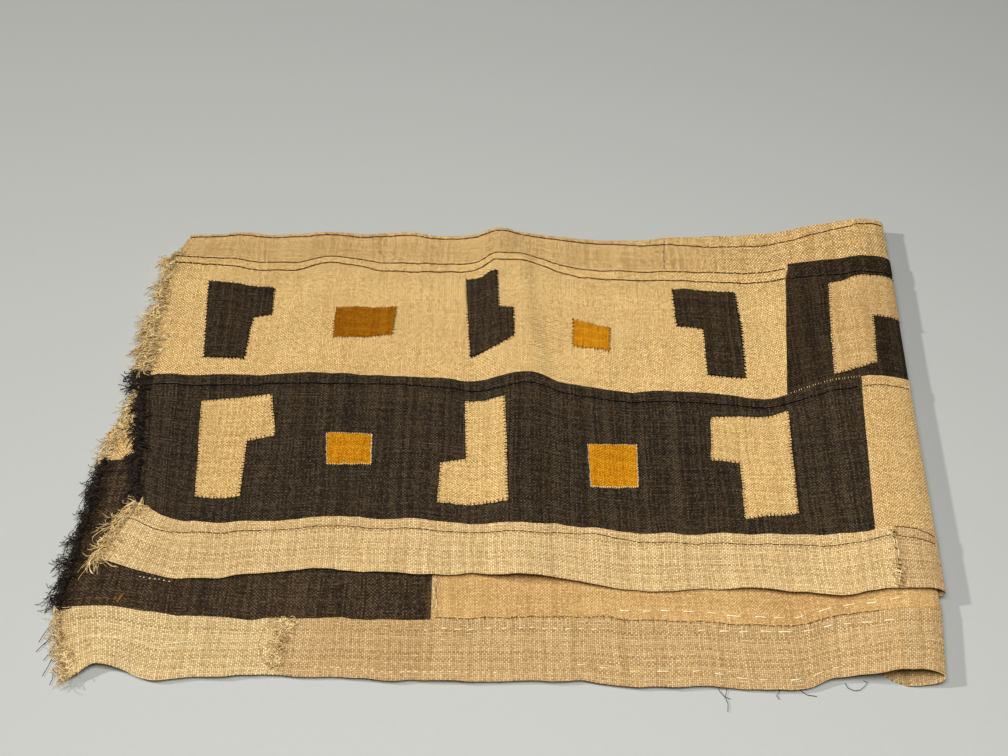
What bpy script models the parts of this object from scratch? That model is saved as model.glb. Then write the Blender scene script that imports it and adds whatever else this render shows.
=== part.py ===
"""A long kuba raffia cloth of sewn panels and applied patches, folded twice and lying flat.

The frame is in metres with +Z up. X runs along the cloth, Y across it towards its back edge.
"""
import math
import random
from bisect import bisect_right
from collections import namedtuple

import bmesh
import bpy
from mathutils import Vector

# The cloth itself
THICKNESS = 0.001
GAP = 0.0003
PATCH_LIFT = THICKNESS + GAP
ROWS = "ABCD"
ROW_WIDTHS = {"A": 0.072, "B": 0.236, "C": 0.262, "D": 0.092}
CELLS_ACROSS = {"A": 1, "B": 4, "C": 4, "D": 2}

# Shifts that put the origin under the middle of the whole cloth
SHIFT_X = 0.002
SHIFT_Y = 0.0220

# A station across each layer: x along the cloth, z of its middle, then y of its back edge, of the three
# long seams and of its front edge
Station = namedtuple("Station", "x z back upper middle lower front")
TOP_LAYER = [
    Station(-0.534, 0.0095, 0.386, 0.321, 0.081, -0.156, -0.248),
    Station(-0.480, 0.0098, 0.387, 0.321, 0.081, -0.179, -0.267),
    Station(-0.430, 0.0100, 0.388, 0.314, 0.080, -0.187, -0.279),
    Station(-0.385, 0.0102, 0.388, 0.303, 0.080, -0.187, -0.277),
    Station(-0.340, 0.0105, 0.387, 0.301, 0.083, -0.186, -0.273),
    Station(-0.285, 0.0105, 0.391, 0.321, 0.085, -0.183, -0.266),
    Station(-0.230, 0.0105, 0.383, 0.313, 0.082, -0.180, -0.265),
    Station(-0.190, 0.0105, 0.391, 0.300, 0.080, -0.181, -0.269),
    Station(-0.110, 0.0105, 0.385, 0.299, 0.077, -0.184, -0.273),
    Station(-0.045, 0.0108, 0.381, 0.299, 0.066, -0.192, -0.274),
    Station(-0.010, 0.0110, 0.391, 0.320, 0.072, -0.193, -0.277),
    Station(0.040, 0.0110, 0.388, 0.318, 0.079, -0.193, -0.280),
    Station(0.100, 0.0110, 0.376, 0.293, 0.062, -0.196, -0.286),
    Station(0.190, 0.0110, 0.371, 0.278, 0.046, -0.207, -0.300),
    Station(0.270, 0.0110, 0.377, 0.280, 0.046, -0.208, -0.296),
    Station(0.330, 0.0115, 0.378, 0.275, 0.039, -0.208, -0.297),
    Station(0.380, 0.0120, 0.379, 0.270, 0.031, -0.210, -0.303),
    Station(0.450, 0.0160, 0.387, 0.278, 0.051, -0.213, -0.311),
    Station(0.500, 0.0250, 0.395, 0.279, 0.060, -0.214, -0.307),
    Station(0.545, 0.0295, 0.400, 0.280, 0.062, -0.208, -0.304),
]
BOTTOM_LAYER = [
    Station(0.545, 0.0005, 0.400, 0.282, 0.062, -0.208, -0.308),
    Station(0.400, 0.0005, 0.392, 0.276, 0.050, -0.218, -0.315),
    Station(-0.050, 0.0005, 0.354, 0.278, 0.040, -0.230, -0.335),
    Station(-0.440, 0.0005, 0.325, 0.252, 0.016, -0.253, -0.358),
]
THIRD_LAYER = [
    Station(-0.440, 0.0030, 0.325, 0.252, 0.016, -0.253, -0.358),
    Station(0.000, 0.0030, 0.290, 0.218, -0.018, -0.290, -0.392),
    Station(0.330, 0.0030, 0.262, 0.190, -0.044, -0.324, -0.410),
    Station(0.440, 0.0030, 0.252, 0.182, -0.052, -0.323, -0.406),
    Station(0.485, 0.0030, 0.249, 0.177, -0.057, -0.326, -0.412),
    Station(0.512, 0.0030, 0.247, 0.174, -0.060, -0.331, -0.430),
    Station(0.530, 0.0030, 0.246, 0.172, -0.062, -0.334, -0.437),
]
SECOND_LAYER = [
    Station(0.530, 0.0225, 0.246, 0.172, -0.062, -0.332, -0.424),
    Station(0.480, 0.0140, 0.246, 0.172, -0.062, -0.335, -0.427),
    Station(0.430, 0.0080, 0.246, 0.172, -0.064, -0.341, -0.429),
    Station(0.360, 0.0060, 0.244, 0.172, -0.066, -0.352, -0.446),
    Station(0.280, 0.0059, 0.245, 0.173, -0.066, -0.347, -0.440),
    Station(0.170, 0.0058, 0.246, 0.174, -0.066, -0.342, -0.440),
    Station(0.085, 0.0058, 0.247, 0.175, -0.067, -0.337, -0.431),
    Station(0.000, 0.0058, 0.248, 0.176, -0.068, -0.339, -0.432),
    Station(-0.150, 0.0058, 0.250, 0.178, -0.070, -0.341, -0.430),
    Station(-0.235, 0.0058, 0.251, 0.179, -0.071, -0.338, -0.425),
    Station(-0.320, 0.0058, 0.252, 0.180, -0.072, -0.340, -0.423),
    Station(-0.380, 0.0059, 0.252, 0.180, -0.073, -0.337, -0.425),
    Station(-0.440, 0.0060, 0.252, 0.180, -0.074, -0.334, -0.430),
    Station(-0.470, 0.0061, 0.252, 0.180, -0.074, -0.328, -0.425),
    Station(-0.500, 0.0062, 0.252, 0.180, -0.075, -0.322, -0.416),
    Station(-0.535, 0.0062, 0.252, 0.180, -0.075, -0.320, -0.409),
    Station(-0.576, 0.0062, 0.252, 0.180, -0.076, -0.321, -0.430),
]
# What the fringes lie on past each end: how far past it, and how high their middle is there
TOP_END_DROP = [(0.012, 0.0090), (0.030, 0.0086), (0.060, 0.0086)]
LOWER_END_DROP = [(0.010, 0.0042), (0.022, 0.0016), (0.034, 0.0007), (0.060, 0.0007)]

# The spacing of the mesh along each layer, and the steps round each fold
TOP_STEP = 0.036
HIDDEN_STEP = 0.110
SECOND_STEP = 0.050
FOLD_STEPS = 9
SMALL_FOLD_STEPS = 5

# How far each fold bulges past the end of its layers
OUTER_BULGE = 0.056
INNER_BULGE = 0.047
SMALL_BULGE = 0.004

# How each end leans: a shift along x at the back edge, the three seams and the front edge
TOP_END_LEAN = (0.022, -0.001, -0.006, 0.019, -0.018)
OUTER_FOLD_LEAN = (0.018, 0.013, 0.002, -0.009, -0.013)
INNER_FOLD_LEAN = (0.002, 0.002, 0.002, 0.001, -0.012)
LOWER_END_LEAN = (0.062, 0.060, 0.002, -0.018, 0.010)
END_LEAN_REACH = 0.12
FOLD_LEAN_REACH = 0.15

# Soft ridges in the top and second layers: from one point to another, half as wide, so high
Ridge = namedtuple("Ridge", "x0 y0 x1 y1 half_width height")
TOP_RIDGES = [
    Ridge(-0.012, 0.400, 0.030, -0.300, 0.065, 0.009),
]
SECOND_RIDGES = [
    Ridge(-0.535, -0.440, -0.515, -0.400, 0.045, 0.006),
    Ridge(0.500, -0.470, 0.500, -0.400, 0.060, 0.004),
]
# The top layer sinks where the second no longer carries it, and the third where the bottom one ends
TOP_SAG = 0.0035
TOP_SAG_FROM = 0.220
TOP_SAG_OVER = 0.120
THIRD_SAG = 0.0022
THIRD_SAG_OFFSET = 0.010
THIRD_SAG_OVER = 0.030

# Colours as linear red, green and blue
CREAM = (0.600, 0.420, 0.210)
DARK = (0.034, 0.026, 0.020)
ORANGE = (0.640, 0.270, 0.030)
BROWN_ORANGE = (0.400, 0.170, 0.030)
ROUGHNESS = 0.85

# Where panels join: layer, x and, when the seam leans, how far its lower end is shifted
Join = namedtuple("Join", "layer x shift")
PANELS = [
    ("A", ["cream", "cream"], [Join("top", 0.260, -0.005)]),
    ("B", ["cream", "dark", "cream", "dark", "cream"],
     [Join("top", 0.449, -0.029), Join("bottom", 0.000, 0.0), Join("third", -0.250, 0.0),
      Join("second", 0.400, 0.0)]),
    ("C", ["dark", "cream", "dark", "cream", "dark"],
     [Join("top", 0.528, -0.013), Join("bottom", -0.020, 0.0), Join("third", -0.050, 0.0),
      Join("second", -0.097, 0.0)]),
    ("D", ["cream", "cream", "cream"], [Join("top", 0.540, -0.004), Join("second", -0.290, 0.003)]),
]

# Patches: outlines as (metres along the cloth, metres below the row's upper seam)
Patch = namedtuple("Patch", "name row colour outline")
PATCHES = [
    Patch("dark_gamma", "B", "dark",
          [(0.067, 0.042), (0.171, 0.041), (0.173, 0.104), (0.144, 0.109), (0.140, 0.201), (0.080, 0.199)]),
    Patch("brown_rectangle", "B", "brown_orange",
          [(0.272, 0.100), (0.365, 0.086), (0.362, 0.149), (0.272, 0.161)]),
    Patch("dark_l", "B", "dark",
          [(0.474, 0.018), (0.523, 0.025), (0.525, 0.102), (0.548, 0.104), (0.549, 0.161), (0.522, 0.177),
           (0.483, 0.188)]),
    Patch("orange_rectangle", "B", "orange",
          [(0.641, 0.101), (0.697, 0.106), (0.694, 0.157), (0.639, 0.154)]),
    Patch("dark_seven", "B", "dark",
          [(0.799, 0.023), (0.896, 0.022), (0.899, 0.092), (0.896, 0.195), (0.840, 0.200), (0.841, 0.104),
           (0.801, 0.102)]),
    Patch("fold_gamma", "B", "cream",
          [(1.035, 0.022), (1.068, 0.012), (1.094, 0.009), (1.150, 0.010), (1.150, 0.106), (1.095, 0.103),
           (1.090, 0.209), (1.025, 0.225)]),
    Patch("cream_gamma", "C", "cream",
          [(0.086, 0.047), (0.191, 0.041), (0.202, 0.115), (0.162, 0.123), (0.164, 0.222), (0.099, 0.222)]),
    Patch("orange_square_left", "C", "orange",
          [(0.277, 0.114), (0.342, 0.112), (0.344, 0.169), (0.281, 0.170)]),
    Patch("cream_j", "C", "cream",
          [(0.476, 0.039), (0.536, 0.040), (0.540, 0.227), (0.440, 0.230), (0.443, 0.159), (0.480, 0.148)]),
    Patch("orange_square_right", "C", "orange",
          [(0.655, 0.114), (0.726, 0.100), (0.723, 0.181), (0.657, 0.189)]),
    Patch("cream_seven", "C", "cream",
          [(0.837, 0.045), (0.951, 0.034), (0.944, 0.224), (0.868, 0.235), (0.871, 0.131), (0.830, 0.132)]),
]

# Fringes: which end, row, colour, strands, how long, and how far a strand leans or falls short at random
Fringe = namedtuple("Fringe", "name end row colour strands length lean")
FRINGES = [
    Fringe("fringe_top_B", "top", "B", "cream", 38, 0.030, 0.0012),
    Fringe("fringe_top_C", "top", "C", "dark", 40, 0.016, 0.0014),
    Fringe("fringe_top_D", "top", "D", "cream", 18, 0.026, 0.0010),
    Fringe("fringe_lower_B", "lower", "B", "cream", 30, 0.022, 0.0014),
    Fringe("fringe_lower_C", "lower", "C", "dark", 44, 0.018, 0.0012),
    Fringe("fringe_lower_D", "lower", "D", "cream", 16, 0.028, 0.0010),
]
BACKING_WIDTH = 0.004
STRAND_FILL = 0.42
STRAND_TIP_FILL = 0.30
STRAND_THICKNESS = 0.0008


def smooth(value):
    """A soft step from 0 to 1."""
    value = min(max(value, 0.0), 1.0)
    return value * value * (3.0 - 2.0 * value)


def along(layer, x):
    """A layer's height and its five edges and seams at x, on soft curves through its stations."""
    rows = sorted(layer)
    xs = [row.x for row in rows]
    i = min(max(bisect_right(xs, x) - 1, 0), len(rows) - 2)
    width = xs[i + 1] - xs[i]
    part = min(max((x - xs[i]) / width, 0.0), 1.0)

    def slope(k, column):
        if k == 0 or k == len(rows) - 1:
            return 0.0
        before = (rows[k][column] - rows[k - 1][column]) / (xs[k] - xs[k - 1])
        after = (rows[k + 1][column] - rows[k][column]) / (xs[k + 1] - xs[k])
        return 0.0 if before * after <= 0 else 2.0 * before * after / (before + after)

    values = []
    for column in range(1, 7):
        a, b = rows[i][column], rows[i + 1][column]
        first, last = slope(i, column) * width, slope(i + 1, column) * width
        cube = 2.0 * a + first - 2.0 * b + last
        square = -3.0 * a + 3.0 * b - 2.0 * first - last
        values.append(((cube * part + square) * part + first) * part + a)
    return values[0], values[1:]


def spread(start, end, step):
    """Evenly spaced values from start to end, both included."""
    count = max(1, round(abs(end - start) / step))
    return [start + (end - start) * i / count for i in range(count + 1)]


def layer_lines(name, layer, start, end, step):
    """The lines across one layer, each with its layer's name, x, height and five y values."""
    return [(name, x, *along(layer, x)) for x in spread(start, end, step)]


def fold_lines(name, before, after, bulge, steps):
    """The lines round one fold, from the last line before it to the first one after."""
    x, low, high = before[1], before[2], after[2]
    centre, half = (low + high) / 2.0, (high - low) / 2.0
    side = 1.0 if bulge > 0 else -1.0
    lines = []
    for i in range(1, steps):
        turn = math.pi * i / steps
        share = (1.0 - math.cos(turn)) / 2.0
        ys = [a + (b - a) * share for a, b in zip(before[3], after[3])]
        lines.append((name, x + side * abs(bulge) * math.sin(turn), centre - half * math.cos(turn), ys))
    return lines


def end_lines(name, last, drops, direction):
    """The lines past one end of the cloth, which carry its fringes."""
    return [(name, last[1] + direction * out, height, last[3]) for out, height in drops]


def cloth_lines():
    """Every line across the folded cloth, from past its top end to past its lower end."""
    top = layer_lines("top", TOP_LAYER, TOP_LAYER[0].x, TOP_LAYER[-1].x, TOP_STEP)
    bottom = layer_lines("bottom", BOTTOM_LAYER, BOTTOM_LAYER[0].x, BOTTOM_LAYER[-1].x, HIDDEN_STEP)
    third = layer_lines("third", THIRD_LAYER, THIRD_LAYER[0].x, THIRD_LAYER[-1].x, HIDDEN_STEP)
    second = layer_lines("second", SECOND_LAYER, SECOND_LAYER[0].x, SECOND_LAYER[-1].x, SECOND_STEP)
    outer = fold_lines("outer", top[-1], bottom[0], OUTER_BULGE, FOLD_STEPS)
    small = fold_lines("small", bottom[-1], third[0], -SMALL_BULGE, SMALL_FOLD_STEPS)
    inner = fold_lines("inner", third[-1], second[0], INNER_BULGE, FOLD_STEPS)
    before = end_lines("top", top[0], TOP_END_DROP, -1)[::-1]
    after = end_lines("second", second[-1], LOWER_END_DROP, -1)
    return before + top + outer + bottom + small + third + inner + second + after


LINES = cloth_lines()


def distances():
    """How far each line is along the cloth. The top end is at 0."""
    run = [0.0]
    for a, b in zip(LINES, LINES[1:]):
        run.append(run[-1] + math.hypot(b[1] - a[1], b[2] - a[2]))
    start = run[len(TOP_END_DROP)]
    return [value - start for value in run]


MARKS = distances()
LENGTH = MARKS[-1 - len(LOWER_END_DROP)]
ACROSS = [row + cell / CELLS_ACROSS[name] for row, name in enumerate(ROWS) for cell in range(CELLS_ACROSS[name])]
ACROSS.append(float(len(ROWS)))


def lean_at(values, across):
    """The lean at a place across the cloth, between the values at its five edges and seams."""
    row = min(int(across), len(values) - 2)
    return values[row] + (values[row + 1] - values[row]) * (across - row)


def ridge_height(ridges, x, y):
    """How much the ridges lift the cloth at one place."""
    total = 0.0
    for ridge in ridges:
        way = Vector((ridge.x1 - ridge.x0, ridge.y1 - ridge.y0))
        offset = Vector((x - ridge.x0, y - ridge.y0))
        share = min(max(offset.dot(way) / way.length_squared, 0.0), 1.0)
        away = (offset - way * share).length / ridge.half_width
        if away < 1.0:
            total += ridge.height * (0.5 + 0.5 * math.cos(math.pi * away))
    return total


def lattice_point(line, mark, across):
    """The middle of the cloth at one line and one place across it."""
    layer, x, z, ys = line
    row = min(int(across), len(ROWS) - 1)
    y = ys[row] + (ys[row + 1] - ys[row]) * (across - row)
    if layer == "top":
        x += lean_at(TOP_END_LEAN, across) * (1.0 - smooth(mark / END_LEAN_REACH))
    if layer in ("top", "bottom", "outer"):
        near = 1.0 if layer == "outer" else smooth(1.0 - (TOP_LAYER[-1].x - x) / FOLD_LEAN_REACH)
        x += lean_at(OUTER_FOLD_LEAN, across) * near
    if layer in ("third", "second", "inner"):
        near = 1.0 if layer == "inner" else smooth(1.0 - (THIRD_LAYER[-1].x - x) / FOLD_LEAN_REACH)
        x += lean_at(INNER_FOLD_LEAN, across) * near
    if layer == "second":
        x += lean_at(LOWER_END_LEAN, across) * (1.0 - smooth((LENGTH - mark) / END_LEAN_REACH))
        z += ridge_height(SECOND_RIDGES, x, y)
    if layer == "top":
        z += ridge_height(TOP_RIDGES, x, y) - TOP_SAG * smooth((y - TOP_SAG_FROM) / TOP_SAG_OVER)
    if layer == "third":
        edge = along(BOTTOM_LAYER, x)[1][4]
        z -= THIRD_SAG * smooth((edge - THIRD_SAG_OFFSET - y) / THIRD_SAG_OVER)
    return Vector((x + SHIFT_X, y + SHIFT_Y, z))


LATTICE = [[lattice_point(line, mark, across) for across in ACROSS] for line, mark in zip(LINES, MARKS)]


def lattice_normal(i, j):
    """The way the cloth's right side faces at one lattice point."""
    run = LATTICE[min(i + 1, len(LATTICE) - 1)][j] - LATTICE[max(i - 1, 0)][j]
    side = LATTICE[i][min(j + 1, len(ACROSS) - 1)] - LATTICE[i][max(j - 1, 0)]
    return side.cross(run).normalized()


def lattice_normals():
    """The normals at every lattice point. The bottom layer lies level, so its normals are straight down."""
    normals = [[lattice_normal(i, j) for j in range(len(ACROSS))] for i in range(len(LATTICE))]
    for i, line in enumerate(LINES):
        if line[0] == "bottom":
            normals[i] = [Vector((0.0, 0.0, -1.0)) for _ in ACROSS]
    return normals


NORMALS = lattice_normals()


def on_cloth(run, across, lift):
    """The point at a distance along the cloth and a place across it, lifted off its middle."""
    i = min(max(bisect_right(MARKS, run) - 1, 0), len(MARKS) - 2)
    j = min(max(bisect_right(ACROSS, across) - 1, 0), len(ACROSS) - 2)
    p = (run - MARKS[i]) / (MARKS[i + 1] - MARKS[i])
    q = (across - ACROSS[j]) / (ACROSS[j + 1] - ACROSS[j])
    point = Vector((0.0, 0.0, 0.0))
    for di, dj, share in ((0, 0, (1 - p) * (1 - q)), (1, 0, p * (1 - q)), (0, 1, (1 - p) * q), (1, 1, p * q)):
        point += share * (LATTICE[i + di][j + dj] + lift * NORMALS[i + di][j + dj])
    return point


def run_at(layer, x):
    """The distance along the cloth at x in one layer."""
    for i in range(len(LINES) - 1):
        a, b = LINES[i], LINES[i + 1]
        if a[0] == b[0] == layer and min(a[1], b[1]) <= x <= max(a[1], b[1]):
            return MARKS[i] + (MARKS[i + 1] - MARKS[i]) * (x - a[1]) / (b[1] - a[1])
    raise ValueError(f"no place at {x} in the {layer} layer")


def metres_across(row, down):
    """The place across the cloth that is so many metres below the row's upper seam."""
    return ROWS.index(row) + down / ROW_WIDTHS[row]


def cloth_piece(name, outlines, low, high, material):
    """A closed sheet over joined outlines of (along, across) points, between two heights off the cloth's middle."""
    mesh = bmesh.new()
    corners = {}
    for outline in outlines:
        for place in outline:
            if place not in corners:
                corners[place] = mesh.verts.new((*place, 0.0))
        mesh.faces.new([corners[place] for place in outline])
    for axis, values in ((0, MARKS), (1, ACROSS)):
        first = min(place[axis] for place in corners)
        last = max(place[axis] for place in corners)
        away = Vector((1.0, 0.0, 0.0)) if axis == 0 else Vector((0.0, 1.0, 0.0))
        for value in values:
            if first < value < last:
                everything = mesh.verts[:] + mesh.edges[:] + mesh.faces[:]
                bmesh.ops.bisect_plane(mesh, geom=everything, dist=1e-7, plane_co=away * value, plane_no=away)
    raised = bmesh.ops.extrude_face_region(mesh, geom=mesh.faces[:])["geom"]
    for item in raised:
        if isinstance(item, bmesh.types.BMVert):
            item.co.z = 1.0
    for vert in mesh.verts:
        run, across, side = vert.co
        vert.co = on_cloth(run, across, low + (high - low) * side)
    bmesh.ops.triangulate(mesh, faces=mesh.faces[:])
    bmesh.ops.recalc_face_normals(mesh, faces=mesh.faces[:])
    if mesh.calc_volume(signed=True) < 0.0:
        bmesh.ops.reverse_faces(mesh, faces=mesh.faces[:])
    data = bpy.data.meshes.new(name)
    mesh.to_mesh(data)
    mesh.free()
    data.materials.append(material)
    thing = bpy.data.objects.new(name, data)
    bpy.context.collection.objects.link(thing)


def make_material(name, colour):
    """A matt raffia material."""
    material = bpy.data.materials.new(name)
    material.use_nodes = True
    shader = material.node_tree.nodes["Principled BSDF"]
    shader.inputs["Base Color"].default_value = (*colour, 1.0)
    shader.inputs["Roughness"].default_value = ROUGHNESS
    shader.inputs["Metallic"].default_value = 0.0
    return material


def make_panels(materials):
    """The panels and border strips of the four rows."""
    for row, colours, joins in PANELS:
        top, bottom = ROWS.index(row), ROWS.index(row) + 1.0
        side = GAP / 2.0 / ROW_WIDTHS[row]
        upper = top if row == ROWS[0] else top + side
        lower = bottom if row == ROWS[-1] else bottom - side
        ends = [(0.0, 0.0)]
        for join in joins:
            start = run_at(join.layer, join.x)
            ends.append((start, start + join.shift))
        ends.append((LENGTH, LENGTH))
        for i, colour in enumerate(colours):
            left = GAP / 2.0 if i else 0.0
            right = GAP / 2.0 if i < len(colours) - 1 else 0.0
            outline = [(ends[i][0] + left, upper), (ends[i + 1][0] - right, upper),
                       (ends[i + 1][1] - right, lower), (ends[i][1] + left, lower)]
            name = f"panel_{row}{i + 1}_{colour}"
            cloth_piece(name, [outline], -THICKNESS / 2.0, THICKNESS / 2.0, materials[colour])


def make_patches(materials):
    """The patches, a little above the panels that they are sewn to."""
    for patch in PATCHES:
        outline = [(run, metres_across(patch.row, down)) for run, down in patch.outline]
        low = PATCH_LIFT - THICKNESS / 2.0
        cloth_piece(f"patch_{patch.name}", [outline], low, low + THICKNESS, materials[patch.colour])


def make_fringe(number, fringe, material):
    """A comb of strands whose roots run into a narrow strip beside the cloth's end."""
    chance = random.Random(number)
    outward = -1.0 if fringe.end == "top" else 1.0
    start = (0.0 if fringe.end == "top" else LENGTH) + GAP * outward
    root = start + BACKING_WIDTH * outward
    first = ROWS.index(fringe.row)
    margin = GAP / ROW_WIDTHS[fringe.row]
    pitch = (1.0 - 2.0 * margin) / fringe.strands
    roots = [first + margin]
    outlines = []
    bend = 0.0
    for i in range(fringe.strands):
        middle = first + margin + pitch * (i + 0.5)
        half, tip = pitch * STRAND_FILL / 2.0, pitch * STRAND_TIP_FILL / 2.0
        bend = 0.6 * bend + chance.uniform(-fringe.lean, fringe.lean) / ROW_WIDTHS[fringe.row]
        limit = 0.4 * (pitch - 2.0 * tip)
        shift = min(max(bend, -limit), limit)
        end = root + fringe.length * chance.uniform(0.6, 1.0) * outward
        outlines.append([(root, middle - half), (end, middle + shift - tip),
                         (end, middle + shift + tip), (root, middle + half)])
        roots += [middle - half, middle + half]
    roots.append(first + 1.0 - margin)
    for low, high in zip(roots, roots[1:]):
        outlines.append([(start, low), (root, low), (root, high), (start, high)])
    half = STRAND_THICKNESS / 2.0
    cloth_piece(fringe.name, outlines, -half, half, material)


def main():
    """Build the whole cloth."""
    for old in list(bpy.data.objects):
        bpy.data.objects.remove(old)
    colours = {"cream": CREAM, "dark": DARK, "orange": ORANGE, "brown_orange": BROWN_ORANGE}
    materials = {name: make_material(f"raffia_{name}", colour) for name, colour in colours.items()}
    make_panels(materials)
    make_patches(materials)
    for number, fringe in enumerate(FRINGES):
        make_fringe(number, fringe, materials[fringe.colour])


main()
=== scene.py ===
"""The folded kuba raffia cloth with its weave, seams, stitches and fringes, on a plain pale floor."""
import math
import random
from bisect import bisect_right
from collections import namedtuple

import bmesh
import bpy
import numpy as np
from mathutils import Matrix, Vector


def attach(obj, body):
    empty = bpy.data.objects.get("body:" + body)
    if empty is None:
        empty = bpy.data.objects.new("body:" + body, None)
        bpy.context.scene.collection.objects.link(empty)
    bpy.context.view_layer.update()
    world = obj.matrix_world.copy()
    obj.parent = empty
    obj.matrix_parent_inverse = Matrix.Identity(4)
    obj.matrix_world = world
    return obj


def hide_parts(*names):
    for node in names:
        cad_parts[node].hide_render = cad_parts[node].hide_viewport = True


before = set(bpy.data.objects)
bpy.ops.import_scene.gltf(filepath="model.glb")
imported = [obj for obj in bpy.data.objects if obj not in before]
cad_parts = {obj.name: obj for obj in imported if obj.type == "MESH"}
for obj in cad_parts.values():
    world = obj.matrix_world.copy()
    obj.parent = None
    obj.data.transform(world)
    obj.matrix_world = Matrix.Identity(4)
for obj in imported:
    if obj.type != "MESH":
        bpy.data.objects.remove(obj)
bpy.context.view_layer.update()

# The cloth's driving sizes, as in the part's source
THICKNESS = 0.001
GAP = 0.0003
PATCH_LIFT = THICKNESS + GAP
ROWS = "ABCD"
ROW_WIDTHS = {"A": 0.072, "B": 0.236, "C": 0.262, "D": 0.092}
SHIFT_X = 0.002
SHIFT_Y = 0.0220
# Where each kind of random unevenness starts
WAVE_SEED, SEAM_SEED, THREAD_SEED = 7, 5, 11


def metres(rows):
    """Rows of millimetres as rows of metres."""
    return [tuple(value / 1000.0 for value in row) for row in rows]


def between(a, b, share):
    """The place that is so far on the way from a to b."""
    return a[0] + (b[0] - a[0]) * share, a[1] + (b[1] - a[1]) * share


def sides_of(outline):
    """The two ends of each side of a closed outline."""
    return list(zip(outline, outline[1:] + outline[:1]))


def signed_area(outline):
    """The area of a closed outline, less than 0 where it runs the other way round."""
    return sum(a[0] * b[1] - b[0] * a[1] for a, b in sides_of(outline)) / 2.0


# A station across each layer: x along the cloth, z of its middle, then y of its back edge, of the three
# long seams and of its front edge
Station = namedtuple("Station", "x z back upper middle lower front")


def stations(rows):
    """The stations of one layer, from rows of millimetres."""
    return [Station(*row) for row in metres(rows)]


TOP_LAYER = stations([
    (-534, 9.5, 386, 321, 81, -156, -248),
    (-480, 9.8, 387, 321, 81, -179, -267),
    (-430, 10, 388, 314, 80, -187, -279),
    (-385, 10.2, 388, 303, 80, -187, -277),
    (-340, 10.5, 387, 301, 83, -186, -273),
    (-285, 10.5, 391, 321, 85, -183, -266),
    (-230, 10.5, 383, 313, 82, -180, -265),
    (-190, 10.5, 391, 300, 80, -181, -269),
    (-110, 10.5, 385, 299, 77, -184, -273),
    (-45, 10.8, 381, 299, 66, -192, -274),
    (-10, 11, 391, 320, 72, -193, -277),
    (40, 11, 388, 318, 79, -193, -280),
    (100, 11, 376, 293, 62, -196, -286),
    (190, 11, 371, 278, 46, -207, -300),
    (270, 11, 377, 280, 46, -208, -296),
    (330, 11.5, 378, 275, 39, -208, -297),
    (380, 12, 379, 270, 31, -210, -303),
    (450, 16, 387, 278, 51, -213, -311),
    (500, 25, 395, 279, 60, -214, -307),
    (545, 29.5, 400, 280, 62, -208, -304),
])
BOTTOM_LAYER = stations([
    (545, 0.5, 400, 282, 62, -208, -308),
    (400, 0.5, 392, 276, 50, -218, -315),
    (-50, 0.5, 354, 278, 40, -230, -335),
    (-440, 0.5, 325, 252, 16, -253, -358),
])
THIRD_LAYER = stations([
    (-440, 3, 325, 252, 16, -253, -358),
    (0, 3, 290, 218, -18, -290, -392),
    (330, 3, 262, 190, -44, -324, -410),
    (440, 3, 252, 182, -52, -323, -406),
    (485, 3, 249, 177, -57, -326, -412),
    (512, 3, 247, 174, -60, -331, -430),
    (530, 3, 246, 172, -62, -334, -437),
])
SECOND_LAYER = stations([
    (530, 22.5, 246, 172, -62, -332, -424),
    (480, 14, 246, 172, -62, -335, -427),
    (430, 8, 246, 172, -64, -341, -429),
    (360, 6, 244, 172, -66, -352, -446),
    (280, 5.9, 245, 173, -66, -347, -440),
    (170, 5.8, 246, 174, -66, -342, -440),
    (85, 5.8, 247, 175, -67, -337, -431),
    (0, 5.8, 248, 176, -68, -339, -432),
    (-150, 5.8, 250, 178, -70, -341, -430),
    (-235, 5.8, 251, 179, -71, -338, -425),
    (-320, 5.8, 252, 180, -72, -340, -423),
    (-380, 5.9, 252, 180, -73, -337, -425),
    (-440, 6, 252, 180, -74, -334, -430),
    (-470, 6.1, 252, 180, -74, -328, -425),
    (-500, 6.2, 252, 180, -75, -322, -416),
    (-535, 6.2, 252, 180, -75, -320, -409),
    (-576, 6.2, 252, 180, -76, -321, -430),
])
# What the fringes lie on past each end: how far past it, and how high their middle is there
TOP_END_DROP = [(0.012, 0.0090), (0.030, 0.0086), (0.060, 0.0086)]
LOWER_END_DROP = [(0.010, 0.0042), (0.022, 0.0016), (0.034, 0.0007), (0.060, 0.0007)]

# How far each fold bulges past the end of its layers
OUTER_BULGE = 0.056
INNER_BULGE = 0.047
SMALL_BULGE = 0.004

# How each end leans: a shift along x at the back edge, the three seams and the front edge
TOP_END_LEAN = (0.022, -0.001, -0.006, 0.019, -0.018)
OUTER_FOLD_LEAN = (0.018, 0.013, 0.002, -0.009, -0.013)
INNER_FOLD_LEAN = (0.002, 0.002, 0.002, 0.001, -0.012)
LOWER_END_LEAN = (0.062, 0.060, 0.002, -0.018, 0.010)
END_LEAN_REACH = 0.12
FOLD_LEAN_REACH = 0.15

# Soft ridges and troughs: from one point to another, half as wide, so high
Ridge = namedtuple("Ridge", "x0 y0 x1 y1 half_width height")
TOP_RIDGES = [
    Ridge(-0.012, 0.400, 0.030, -0.300, 0.065, 0.009),
    Ridge(0.030, 0.330, 0.052, 0.020, 0.028, 0.0040),
    Ridge(-0.100, -0.266, 0.120, -0.284, 0.046, 0.0030),
    Ridge(0.320, -0.300, 0.440, -0.310, 0.044, 0.0034),
]
SECOND_RIDGES = [
    Ridge(-0.535, -0.440, -0.515, -0.400, 0.045, 0.006),
    Ridge(0.500, -0.470, 0.500, -0.400, 0.060, 0.004),
]
# The top layer sinks where the second no longer carries it, and the third where the bottom one ends
TOP_SAG = 0.0035
TOP_SAG_FROM = 0.220
TOP_SAG_OVER = 0.120
THIRD_SAG = 0.0022
THIRD_SAG_OFFSET = 0.010
THIRD_SAG_OVER = 0.030

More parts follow.
